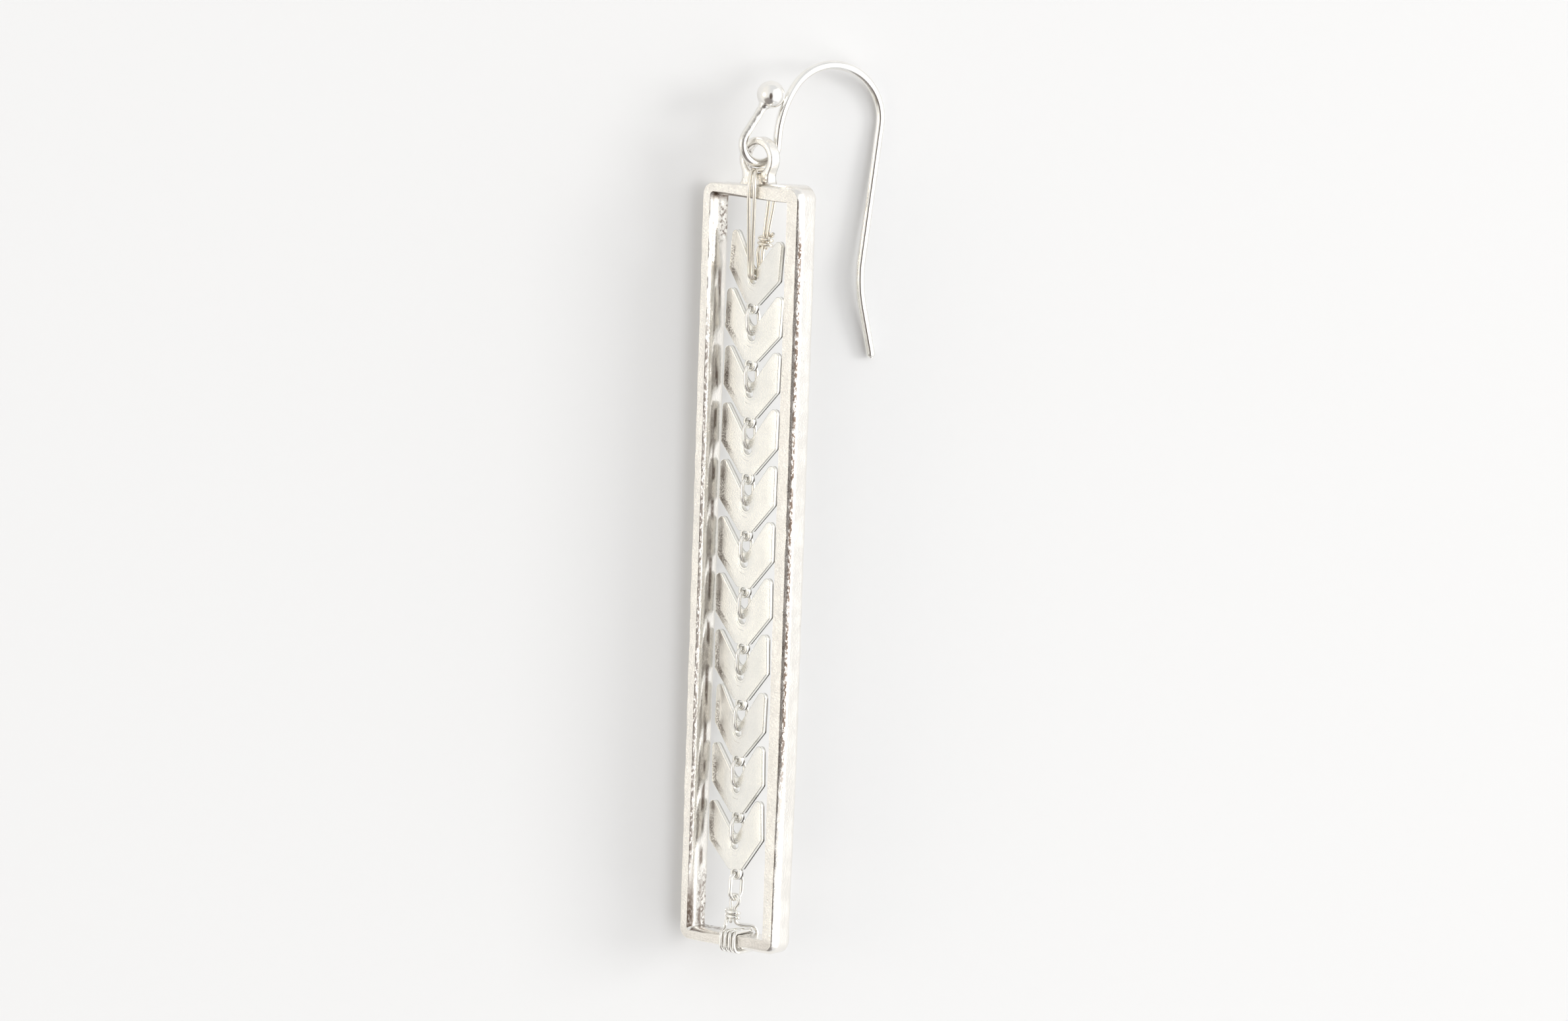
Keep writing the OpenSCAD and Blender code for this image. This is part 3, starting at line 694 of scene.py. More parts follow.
def frame_mesh(layout):
    """The four bars as one closed surface: a bar's outline carried round the frame's loop, with the loop for each
    point of the outline at that point's own distance from the window. The outline goes over from the left bar's
    to the right bar's along the short bars, and down the right bar to its worn foot's. Casting ripple moves each
    point along its own direction across the bar, never outwards. Where the bars have been rubbed flat, what stands
    above a level height is pressed down towards it."""
    b = layout.body
    sections = frame_sections(layout)
    (left_loop, outward), (right_loop, _), (worn_loop, _) = (
        frame_loop(layout, section[:, 0], 460, 60, 12) for section in sections
    )
    share_right = smooth_step(-4 * MM, 4 * MM, left_loop[:, :1, 0])[..., None]
    share_worn = smooth_step(18 * MM, 2 * MM, left_loop[:, :1, 1] + layout.frame_len / 2)[..., None]

    def gone_over(left, right, worn):
        right = right + (worn - right) * share_worn
        return left + (right - left) * share_right

    loop = gone_over(left_loop, right_loop, worn_loop) + np.array([0, layout.frame_len / 2])
    section = gone_over(*sections)
    grid = np.concatenate([loop, section[..., 1:]], -1)
    ahead = np.roll(section, -1, 1) - np.roll(section, 1, 1)
    normal = np.stack([-ahead[..., 1], ahead[..., 0]], -1)
    normal /= np.linalg.norm(normal, axis=-1)[..., None]
    push = np.concatenate([outward * normal[..., :1], normal[..., 1:]], -1)
    inner = smooth_step(0.6, 0.95, -normal[..., 0])
    outer = smooth_step(0.6, 0.95, normal[..., 0])
    pitted = pitted_share(layout, grid, inner)
    pit_depth = 0.012 * MM
    swell = ripple(grid, b.waviness, 1.3 * MM, 7) * (1 - 0.6 * (inner + outer)) - b.waviness
    swell = swell + pitted * (ripple(grid, pit_depth, 0.3 * MM, 9) - pit_depth)
    placed = layout.on_table(grid + push * swell[..., None])
    height = placed[..., 2]
    from_top = layout.frame_len - b.bar_w - grid[..., 1]
    rubbed = 0.045 * MM + 0.035 * MM * smooth_step(0, 8 * MM, from_top) + ripple(grid, 0.012 * MM, 1.1 * MM, 21)
    level = height.max() - rubbed
    left_standing = 0.22
    placed[..., 2] = np.where(height > level, level + left_standing * (height - level), height)
    along = np.concatenate([[0], np.cumsum(np.linalg.norm(np.diff(loop[:, 0], axis=0), axis=1))])
    around = np.concatenate([[0], np.cumsum(np.linalg.norm(np.diff(sections[0], axis=0), axis=1))])
    uv = np.stack(np.broadcast_arrays(along[:, None], around[None]), -1)
    masks = {**frame_masks(layout, grid, outward, normal, inner), "Tarnish": 0.8 * pitted}
    return surface_mesh("bars", placed, uv, True, True, masks=masks)


def ring_plate(name, outline, hole_centre, hole_r, half_t, rim_r, hole_rim_r, place, masks=None):
    """A flat plate with a round hole and soft rims. Each outline point, seen from the hole's centre, gives a
    direction; the section there goes up the hole's wall, across the front, round the outer rim, down the side and
    back across the rear. Rims are quarter circles, made by moving the outline in along its own normals. Painted
    shade, as a mask, lies in the hole and along the rear edge, most of all on the lower right."""
    ahead = np.roll(outline, -1, 0) - outline
    ahead /= np.linalg.norm(ahead, axis=1)[:, None]
    behind = np.roll(ahead, 1, 0)
    left = np.stack([-(ahead + behind)[:, 1], (ahead + behind)[:, 0]], -1)
    left /= np.linalg.norm(left, axis=1)[:, None]
    spread = np.clip(np.sum(left * np.stack([-ahead[:, 1], ahead[:, 0]], -1), 1), 0.6, 1)
    inward = -left / spread[:, None]
    seen = outline - hole_centre
    direction = np.unwrap(np.arctan2(seen[:, 1], seen[:, 0]))
    rays = np.stack([np.cos(direction), np.sin(direction)], -1)
    steps = np.radians(np.linspace(0, 90, 5))
    rings, heights = [], []
    for a in steps:
        rings.append(hole_centre + rays * (hole_r + hole_rim_r * (1 - np.cos(a))))
        heights.append(half_t - hole_rim_r * (1 - np.sin(a)))
    front_hole, front_rim = rings[-1], outline + inward * rim_r
    for t in (0.33, 0.66):
        rings.append(front_hole + (front_rim - front_hole) * t)
        heights.append(half_t)
    for a in steps[::-1]:
        rings.append(outline + inward * rim_r * (1 - np.cos(a)))
        heights.append(half_t - rim_r * (1 - np.sin(a)))
    half = len(rings)
    rings = rings + [outline, outline] + rings[::-1]
    # Heights of the two rows on the side wall; from the lower one back, the side and the rear rim carry painted
    # shade.
    side_row_heights = [0.23 * MM - half_t, 0.2 * MM - half_t]
    heights = heights + side_row_heights + [-h for h in heights[::-1]]
    grid = np.stack([np.concatenate([r, np.full((len(r), 1), h)], 1) for r, h in zip(rings, heights)], 1)
    column = np.arange(len(rings))
    uv = grid[..., :2] + np.where(column[None, :, None] < half, 0, 10 * MM)
    # Painted shade: a dark band along the rear edge, strongest where it faces the lower right, and a light one in the
    # hole.
    facing = smooth_step(0.5, 0.85, (inward[:, 1] - inward[:, 0]) * math.sqrt(0.5))[:, None]
    in_hole = (column < 4) | (column > len(rings) - 5)
    edge_shade = np.where((column > half) & (column < half + 7), 0.4 + 0.6 * facing, 0.2 * in_hole)
    values = {key: mask(grid) for key, mask in (masks or {}).items()}
    return surface_mesh(name, place(grid), uv, True, True, masks={"EdgeShade": edge_shade, **values})


def arc(centre, r, start, end, steps):
    """Points of an arc in even steps, angles in degrees, end left out."""
    a = np.radians(np.linspace(start, end, steps, endpoint=False))
    return np.asarray(centre) + r * np.stack([np.cos(a), np.sin(a)], -1)


def straight(start, end, steps):
    """Points of a straight line in even steps, end left out."""
    t = np.linspace(0, 1, steps, endpoint=False)[:, None]
    return np.asarray(start) + (np.asarray(end) - np.asarray(start)) * t


def chevron_outline(layout):
    """Outline of a chevron plate from the bottom of its notch, clockwise: notch arc, notch edge, wing tip arc,
    wing side, slanting side and half of the foot, then the same mirrored."""
    c = layout.chain
    notch = math.degrees(c.notch_angle)
    half_w = c.chevron_w / 2
    tip_in = layout.tip_centre + layout.TIP_R * np.array([-math.sin(c.notch_angle), math.cos(c.notch_angle)])
    notch_out = np.array([0, layout.notch_centre_y]) + layout.NOTCH_R * np.array(
        [math.sin(c.notch_angle), -math.cos(c.notch_angle)]
    )
    corner_r = 0.12 * MM
    shoulder, heel = np.array([half_w, -c.wing_side]), np.array([layout.FOOT_HALF, -c.chevron_h])
    slope = (heel - shoulder) / np.linalg.norm(heel - shoulder)
    right = np.concatenate(
        [
            arc((0, layout.notch_centre_y), layout.NOTCH_R, 270, 270 + notch, 9),
            straight(notch_out, tip_in, 12),
            arc(layout.tip_centre, layout.TIP_R, 90 + notch, 0, 14),
            straight(layout.tip_centre + [layout.TIP_R, 0], shoulder + [0, corner_r], 9),
            soft_corner(shoulder + [0, corner_r], shoulder, shoulder + slope * corner_r, 4),
            straight(shoulder + slope * corner_r, heel - slope * corner_r, 16),
            soft_corner(heel - slope * corner_r, heel, heel - [corner_r, 0], 4),
            straight(heel - [corner_r, 0], (0, -c.chevron_h), 6),
            [(0, -c.chevron_h)],
        ]
    )
    left = right[1:-1][::-1] * [-1, 1]
    return np.concatenate([right, left])


def soft_corner(start, corner, end, steps):
    """A corner rounded by a quadratic curve from start to end, pulled to the corner, end left out."""
    t = np.linspace(0, 1, steps, endpoint=False)[:, None]
    return (1 - t) ** 2 * np.asarray(start) + 2 * t * (1 - t) * np.asarray(corner) + t**2 * np.asarray(end)


def circle_outline(centre, r, steps):
    """Circle from its top, clockwise."""
    return arc(centre, r, 90, -270, steps)


def chevron_mesh(layout, i):
    """Plate with its hole, and a small washer under its foot for the next ring."""
    c = layout.chain
    turn, at = layout.chevron_turn(i), layout.hole_at(i)

    def place(points):
        local = points - np.array([0, layout.hole_seat_y, 0])
        return layout.beside_table(local @ turn.T + at)

    half_t, hole_rim_r = c.chevron_t / 2, 0.05 * MM
    hole = np.array([0, layout.hole_y])
    eye = np.array([0, layout.eye_y])
    circle = circle_outline(eye, layout.eye_r, 40)
    plate = ring_plate("plate", chevron_outline(layout), hole, c.hole_r, half_t, c.rim_r, hole_rim_r, place)
    washer = ring_plate("washer", circle, eye, layout.eye_hole_r, half_t * 0.98, c.rim_r, hole_rim_r, place)
    return joined(f"chevron_{i:02d}", [plate, washer])


def link_ring_mesh(layout, i):
    """Oval ring of round wire: two half circles and two straights in a plane along the chain, with circles square
    to it carried round."""
    c = layout.chain
    top = layout.eye_at(i)
    span = top - layout.hole_at(i + 1)
    reach = np.linalg.norm(span)
    rows = Layout.CHEVRONS
    turn = math.radians((rows[i - 1][Layout.TURN] + rows[min(i, c.count - 1)][Layout.TURN]) / 2)
    turn = turn + layout.body.roll
    round_r = (c.link_inner_w + c.link_wire_d) / 2
    flat = reach - 2 * round_r
    a = np.linspace(0, math.pi, 28)
    upper = np.stack([0 * a, -round_r + round_r * np.sin(a), round_r * np.cos(a)], -1)
    lower = np.stack([0 * a, -round_r - flat - round_r * np.sin(a), -round_r * np.cos(a)], -1)
    line = np.concatenate([upper, lower])
    outward_upper = np.stack([0 * a, np.sin(a), np.cos(a)], -1)
    outward = np.concatenate([outward_upper, -outward_upper])
    sides = 16
    cos, sin = round_section(sides)
    r = c.link_wire_d / 2
    grid = line[:, None] + r * (outward[:, None] * cos[:, None] + np.array([1.0, 0, 0]) * sin[:, None])
    pose = rotation_z(-math.atan2(span[0], span[1])) @ rotation_x(math.asin(span[2] / reach)) @ rotation_y(-turn)
    gone = np.concatenate([[0], np.cumsum(np.linalg.norm(np.diff(line, axis=0), axis=1))])
    uv = np.stack(np.broadcast_arrays(gone[:, None], (np.arange(sides) * 2 * math.pi * r / sides)[None]), -1)
    return surface_mesh(f"link_ring_{i:02d}", layout.beside_table(grid @ pose.T + top), uv, True, True)


def bail_outline(layout):
    """Outline of the bail from its top, clockwise, about the eye's centre: three quarters of the eye's circle,
    then straight down the neck, out round a fillet and across below the bar's surface. Each point is then moved
    towards the mean of its neighbours a few times, so that the eye flows into the neck."""
    b = layout.body
    fillet_r, waist = 0.35 * MM, 0.38 * MM
    neck_half = layout.bail_r - waist
    down = b.bail_neck + b.bail_hole_r
    turn = math.degrees(math.acos(neck_half / layout.bail_r))
    buried = down + 0.3 * MM
    fillet = arc((neck_half + fillet_r, -down + fillet_r), fillet_r, 180, 262, 7)
    right = np.concatenate(
        [
            arc((0, 0), layout.bail_r, 90, -turn, 34),
            straight((neck_half, -math.sin(math.radians(turn)) * layout.bail_r), (neck_half, -down + fillet_r), 8),
            fillet,
            straight(fillet[-1] + [0.02 * MM, -0.02 * MM], (neck_half + fillet_r, -buried), 4),
            straight((neck_half + fillet_r, -buried), (0, -buried), 12),
            [(0, -buried)],
        ]
    )
    left = right[1:-1][::-1] * [-1, 1]
    outline = np.concatenate([right, left])
    rounds = 8
    for _ in range(rounds):
        outline = (np.roll(outline, 1, 0) + 2 * outline + np.roll(outline, -1, 0)) / 4
    return outline


def bail_mesh(layout):
    """Eye and neck, as a plate with soft rims whose hole is the eye."""
    b = layout.body

    def place(points):
        swell = ripple(points, b.waviness, 1.0 * MM, 11)[..., None] * np.array([0.4, 0.4, 1])
        return layout.on_table(points + swell + np.array([0, layout.bail_v, 0]))

    def polish(grid):
        return np.full(grid.shape[:2], 0.75)

    def pits(grid):
        off = grid[..., :2] - [1.1 * MM, -1.85 * MM]
        in_eye = np.linalg.norm(grid[..., :2], axis=-1) < b.bail_hole_r + 0.1 * MM
        return np.maximum(np.exp(-np.sum((off / [0.35 * MM, 0.55 * MM]) ** 2, -1)), 0.6 * in_eye)

    rim = 0.24 * MM
    masks = {"Polish": polish, "Tarnish": pits}
    half_t = b.bail_depth / 2
    return ring_plate("bail", bail_outline(layout), np.zeros(2), b.bail_hole_r, half_t, rim, rim, place, masks)


def ear_wire_mesh(layout):
    """Ear wire with its ball: circles square to the wire's flat line, whose radius follows the ball, a small
    collar, the wire itself and a rounded tip."""
    e = layout.ear
    inside_solid = 0.002 * MM
    r, ball_r = e.wire_d / 2 - inside_solid, e.ball_d / 2
    collar_len, collar_r = 0.34 * MM, r + 0.16 * MM
    bend = (layout.bend_r, math.radians(270) + layout.LEG_HEADING - layout.arm_angle)
    run = [(layout.arm_len, 0), bend, *layout.ear_run()]
    heading = layout.arm_angle + math.pi / 2
    line, tangent, gone = run_line(layout.ball, heading, run, 0.16 * MM)
    back = np.array([math.cos(heading), math.sin(heading)])
    ball_end = math.sqrt(ball_r**2 - collar_r**2)
    behind = -ball_r * np.cos(np.linspace(0.06, math.acos(-ball_end / ball_r), 44))
    keep = gone > ball_end + 0.02 * MM
    line = np.concatenate([layout.ball + behind[:, None] * back, line[keep]])
    tangent = np.concatenate([np.broadcast_to(back, (len(behind), 2)), tangent[keep]])
    gone = np.concatenate([behind, gone[keep]])
    wire = r + (collar_r - r) * np.exp(-(((gone - ball_end) / collar_len) ** 2) * 2.5)
    to_tip = (gone[-1] - gone) / r
    wire = wire * np.where(to_tip < 1, np.sqrt(np.clip(1 - (1 - to_tip) ** 2, 0.03, 1)), 1)
    radius = np.where(gone <= ball_end, np.sqrt(np.clip(ball_r**2 - gone**2, 0, None)), wire)
    sides = 36
    cos, sin = round_section(sides)
    normal = np.stack([-tangent[:, 1], tangent[:, 0], 0 * gone], -1)
    spokes = normal[:, None] * cos[:, None] + np.array([0, 0, 1.0]) * sin[:, None]
    grid = np.concatenate([line, 0 * line[:, :1]], 1)[:, None] + radius[:, None, None] * spokes
    solder = np.exp(-(((gone - 1.7 * MM) / (0.9 * MM)) ** 2))[:, None, None] * (gone > ball_end)[:, None, None]
    grid = grid + solder * (ripple(grid, 0.02 * MM, 0.16 * MM, 3) - 0.01 * MM)[..., None] * spokes
    on_arm = smooth_step(ball_end, ball_end + 0.2 * MM, gone) * smooth_step(6.5 * MM, 4 * MM, gone)
    dull = on_arm[:, None] * (np.exp(-(((cos + 0.35) / 0.38) ** 2)) * (sin > 0))[None]
    around = np.arange(sides) * 2 * math.pi * r / sides
    uv = np.stack(np.broadcast_arrays(gone[:, None], around[None]), -1)
    ends = [np.append(layout.ball - ball_r * back, 0), np.append(line[-1], 0)]
    poles = tuple(layout.on_ear_plane(p) for p in ends)
    return surface_mesh("ear_wire", layout.on_ear_plane(grid), uv, False, True, poles, {"Dull": dull})


def hanger_line(layout):
    """Line of the hanger wire in the frame's axes: twice over the top bar, through the bail's eye and the first
    chevron's hole, then round itself."""
    b, c, t = layout.body, layout.chain, layout.tie
    r = t.wire_d / 2
    out = b.bar_depth / 2 + r + layout.WIRE_GAP
    off = c.chevron_t / 2 + r + 2 * layout.WIRE_GAP
    crown = layout.frame_len + b.bail_neck + r + layout.WIRE_GAP
    under = layout.frame_len - b.bar_w
    hole = layout.hole_at(1)
    low = hole[1] - layout.hole_seat_y + layout.hole_y + 0.02 * MM
    sag = hole[2] * np.array([math.sin(b.roll), 0, math.cos(b.roll)])
    knee = 5 * r
    pair_half = r + 0.03 * MM
    skew = off * math.tan(math.radians(Layout.CHEVRONS[0][Layout.TURN]))
    twist = np.array([0.14 * MM, under - 0.55 * t.hanger_drop, -0.5 * (out + off)]) + 0.5 * sag
    wrap_u = pair_half + 2 * r + 0.06 * MM
    wrap_n = 2 * r + 0.11 * MM
    turns = 2.5
    wrap_len = turns * (t.wire_d + 0.07 * MM)

    def loop(side_u, eye_u, hole_u):
        return [
            (side_u - 0.06 * MM, under - 0.2 * MM, -out - 0.02 * MM),
            (side_u - 0.06 * MM, layout.frame_len + 0.3 * MM, -out - 0.05 * MM),
            (eye_u, crown + 0.08 * MM, -b.bail_depth / 2 - r),
            (eye_u, crown, 0),
            (eye_u, crown + 0.08 * MM, b.bail_depth / 2 + r),
            (side_u, layout.frame_len + 0.3 * MM, out + 0.05 * MM),
            (side_u, under - 0.2 * MM, out + 0.02 * MM),
            sag + [hole_u - skew, low + 2.2 * knee, off + 0.12 * MM],
            sag + [hole_u - skew, low + knee, off],
            sag + [hole_u - skew, low, off],
            sag + [hole_u + skew, low, -off],
            sag + [hole_u + skew, low + knee, -off],
        ]

    def pair(side):
        return [
            twist + [side * pair_half, -0.2 * MM - wrap_len / 2, 0.04 * MM],
            twist + [side * pair_half, 0.3 * MM + wrap_len / 2, -0.12 * MM],
        ]

    lead = [twist + [-wrap_u - 0.02 * MM, -wrap_len / 2 - 0.4 * MM, 0.2 * MM]]
    first = loop(0.72 * MM, pair_half, r + 0.01 * MM)
    second = loop(0.1 * MM, -pair_half, -r - 0.01 * MM)
    strands = smoothed([*pair(1), *first, *pair(-1), *second, *lead], 4)
    down = np.linspace(0, 1, 100)[:, None]
    a = math.pi + down * turns * 2 * math.pi
    wraps = twist + np.concatenate(
        [wrap_u * np.cos(a), (down - 0.5) * wrap_len, 0.02 * MM - 0.12 * MM * down + wrap_n * np.sin(a)], 1
    )
    end = twist + [wrap_u + 0.3 * MM, wrap_len / 2 + 0.25 * MM, 0]
    return np.concatenate([strands, wraps, [end]])


def wrap_line(layout):
    """Line of the wrap wire in the frame's axes: up as a stem, through the last ring, down again, in turns round
    the bottom bar and in turns round the stem."""
    b, t = layout.body, layout.tie
    r = t.wire_d / 2
    step = t.wire_d + 0.14 * MM
    loop_half = 0.45 * MM
    stem_u = -0.2 * MM
    stem_half = r + 0.03 * MM
    half_n = b.bar_depth / 2 + r + layout.WIRE_GAP
    half_v = b.bar_w / 2 + r + layout.WIRE_GAP
    corner_r = b.edge_r + r + layout.WIRE_GAP
    over_bar = b.bar_w / 2 + half_v
    stem_foot = over_bar + 2 * r + 0.16 * MM
    stem_top = layout.loop_top - 1.12 * MM
    quarters = 4 * 4 - 1
    end_u = stem_u - 0.22 * MM
    start_u = end_u + step * quarters / 4
    turns = 2.25
    stem_a = stem_half + 2 * r + 0.05 * MM
    stem_b = 2 * r + 0.1 * MM
    stem_from = stem_foot + 0.38 * MM
    top = layout.loop_top
    strand = [
        (stem_u - stem_half, stem_foot, 0),
        (stem_u - stem_half, stem_top, 0),
        (-loop_half, top - 0.7 * MM, 0),
        (-loop_half, top, 0),
        (loop_half, top, 0),
        (loop_half, top - 0.7 * MM, 0),
        (stem_u + stem_half, stem_top, 0),
        (stem_u + stem_half, stem_foot + 0.25 * MM, 0),
        (stem_u + 0.45 * MM, stem_foot - 0.1 * MM, -0.35 * MM),
        (start_u - 0.1 * MM, over_bar + 2 * r + 0.05 * MM, 0.25 * MM - half_n),
        (start_u + 0.12 * MM, b.bar_w, -half_n - 0.04 * MM),
        (start_u, b.bar_w / 2, -half_n),
    ]
    corner = np.arange(quarters)[:, None]
    within = np.linspace(0, 1, 9)[None]
    quarter = corner % 4
    a = math.pi / 2 * (quarter + within)
    side_n = np.where((quarter == 0) | (quarter == 3), -1, 1)
    side_v = np.where(quarter < 2, -1, 1)
    bar_wraps = np.stack(
        np.broadcast_arrays(
            start_u + (end_u - start_u) * (corner + within) / quarters,
            b.bar_w / 2 + side_v * (half_v - corner_r) - corner_r * np.sin(a),
            side_n * (half_n - corner_r) - corner_r * np.cos(a),
        ),
        -1,
    ).reshape(-1, 3)
    down = np.linspace(0, 1, 90)[:, None]
    s = math.radians(170) + down * turns * 2 * math.pi
    stem_rise = (t.wire_d + 0.05 * MM) * turns
    stem_wraps = np.concatenate([stem_u + stem_a * np.cos(s), stem_from + down * stem_rise, stem_b * np.sin(s)], 1)
    lead = [
        (end_u - 0.08 * MM, over_bar + 0.05 * MM, half_n / 2),
        (stem_u - stem_a + 0.04 * MM, over_bar + 0.2 * MM, 0.32 * MM),
    ]
    return np.concatenate([smoothed(strand, 4), bar_wraps, lead, stem_wraps])


def tie_wire_mesh(layout, name, line):
    """Round soft wire along a line in the frame's axes, evened out and eased once more, and a little thinner than
    its solid, to keep clear of itself."""
    coarse, fine, thinned, sides = 0.11 * MM, 0.09 * MM, 0.008 * MM, 20
    even = resampled(smoothed(resampled(line, coarse), 1), fine)
    return wire_mesh(name, layout.on_table(even), layout.tie.wire_d / 2 - thinned, sides)


# Node helpers and shared effects


def add_node(tree, kind, values=None, **options):
    """A shader node with its options set, and its input values or the sockets that feed them."""
    node = tree.nodes.new(kind)
    for key, value in options.items():
        setattr(node, key, value)
    for key, value in (values or {}).items():
        if isinstance(value, bpy.types.NodeSocket):
            tree.links.new(value, node.inputs[key])
        else:
            node.inputs[key].default_value = value
    return node


def maths(tree, operation, a, b=None):
    """The output of one Math node."""
    values = {0: a} if b is None else {0: a, 1: b}
    return add_node(tree, "ShaderNodeMath", values, operation=operation).outputs[0]


def add_squares(tree, a, b):
    """The sum of two values' squares."""
    return maths(tree, "ADD", maths(tree, "MULTIPLY", a, a), maths(tree, "MULTIPLY", b, b))


def ranged(tree, value, low, high, to_low=0.0, to_high=1.0):
    """A value carried from one range to another, smoothly and clamped."""
    values = {"Value": value, "From Min": low, "From Max": high, "To Min": to_low, "To Max": to_high}
    return add_node(tree, "ShaderNodeMapRange", values, interpolation_type="SMOOTHSTEP").outputs["Result"]


def mixed(tree, factor, a, b):
    """Two colours mixed by a factor."""
    node = add_node(tree, "ShaderNodeMix", data_type="RGBA")
    for name, value in (("Factor", factor), ("A", a), ("B", b)):
        kind = "VALUE" if name == "Factor" else "RGBA"
        socket = next(s for s in node.inputs if s.name == name and s.type == kind)
        if isinstance(value, bpy.types.NodeSocket):
            tree.links.new(value, socket)
        else:
            socket.default_value = value
    return next(s for s in node.outputs if s.type == "RGBA")


def blended(tree, factor, a, b):
    """Two values mixed by a factor."""
    return add_node(tree, "ShaderNodeMix", {"Factor": factor, "A": a, "B": b}, data_type="FLOAT").outputs["Result"]


def noise(tree, vector, scale, detail=3.0, roughness=0.5):
    """Noise at so many features a metre."""
    values = {"Vector": vector, "Scale": scale, "Detail": detail, "Roughness": roughness}
    return add_node(tree, "ShaderNodeTexNoise", values).outputs["Fac"]


def group(name, inputs, outputs):
    """A new shader node group with its sockets, and its input and output nodes."""
    tree = bpy.data.node_groups.new(name, "ShaderNodeTree")
    for socket, kind in inputs:
        tree.interface.new_socket(socket, in_out="INPUT", socket_type=kind)
    for socket, kind in outputs:
        tree.interface.new_socket(socket, in_out="OUTPUT", socket_type=kind)
    return tree, tree.nodes.new("NodeGroupInput"), tree.nodes.new("NodeGroupOutput")


def brushing_group():
    """Fine scratches that run along a map: noise stretched along one direction, in two sizes that cross at a
    small angle. Height is for a bump, and Streak for roughness."""
    tree, given, made = group(
        "Fine Brushing",
        [("Map", "NodeSocketVector"), ("Fineness", "NodeSocketFloat"), ("Stretch", "NodeSocketFloat")],
        [("Height", "NodeSocketFloat"), ("Streak", "NodeSocketFloat")],
    )
    heights = []
    for angle_deg, size in ((24, 1.0), (-9, 0.45)):
        turned = add_node(
            tree, "ShaderNodeMapping", {"Vector": given.outputs["Map"], "Rotation": (0, 0, math.radians(angle_deg))}
        ).outputs[0]
        parts = add_node(tree, "ShaderNodeSeparateXYZ", {0: turned})
        squeezed = maths(tree, "DIVIDE", parts.outputs[0], given.outputs["Stretch"])
        vector = add_node(tree, "ShaderNodeCombineXYZ", {0: squeezed, 1: parts.outputs[1], 2: angle_deg}).outputs[0]
        scale = maths(tree, "MULTIPLY", given.outputs["Fineness"], size)
        heights.append(noise(tree, vector, scale, 4.0, 0.6))
    total = maths(tree, "ADD", heights[0], heights[1])
    tree.links.new(maths(tree, "MULTIPLY", total, 0.5), made.inputs["Height"])
    tree.links.new(ranged(tree, total, 0.85, 1.2), made.inputs["Streak"])
    return tree


def mottle_group():
    """Soft mottling of plated metal: broad patches and fine grain. Patch shifts colour, Grain feeds a bump."""
    tree, given, made = group(
        "Plating Mottle",
        [("Place", "NodeSocketVector"), ("Patches", "NodeSocketFloat"), ("Grains", "NodeSocketFloat")],
        [("Patch", "NodeSocketFloat"), ("Grain", "NodeSocketFloat"), ("Specks", "NodeSocketFloat")],
    )
    place = given.outputs["Place"]
    patch = noise(tree, place, given.outputs["Patches"], 4.0, 0.55)
    grain = noise(tree, place, given.outputs["Grains"], 3.0, 0.6)
    specks = noise(tree, place, maths(tree, "MULTIPLY", given.outputs["Grains"], 0.6), 2.0, 0.5)
    tree.links.new(ranged(tree, patch, 0.35, 0.68), made.inputs["Patch"])
    tree.links.new(grain, made.inputs["Grain"])
    tree.links.new(ranged(tree, specks, 0.70, 0.76), made.inputs["Specks"])
    return tree


def use_group(tree, source, values):
    """A node group placed in a material with its own values."""
    return add_node(tree, "ShaderNodeGroup", values, node_tree=source)


def new_metal(name):
    """A material with a metallic Principled shader, its tree and its object coordinates and map."""
    material = bpy.data.materials.new(name)
    material.use_nodes = True
    tree = material.node_tree
    tree.nodes.clear()
    shader = add_node(tree, "ShaderNodeBsdfPrincipled", {"Metallic": 1.0})
    output = add_node(tree, "ShaderNodeOutputMaterial")
    tree.links.new(shader.outputs[0], output.inputs[0])
    place = add_node(tree, "ShaderNodeTexCoord").outputs["Object"]
    along = add_node(tree, "ShaderNodeUVMap", uv_map="Along").outputs[0]
    return material, tree, shader, place, along


def rgba(rgb, factor=1.0):
    """A colour with full alpha, darkened by a factor."""
    return (rgb[0] * factor, rgb[1] * factor, rgb[2] * factor, 1.0)


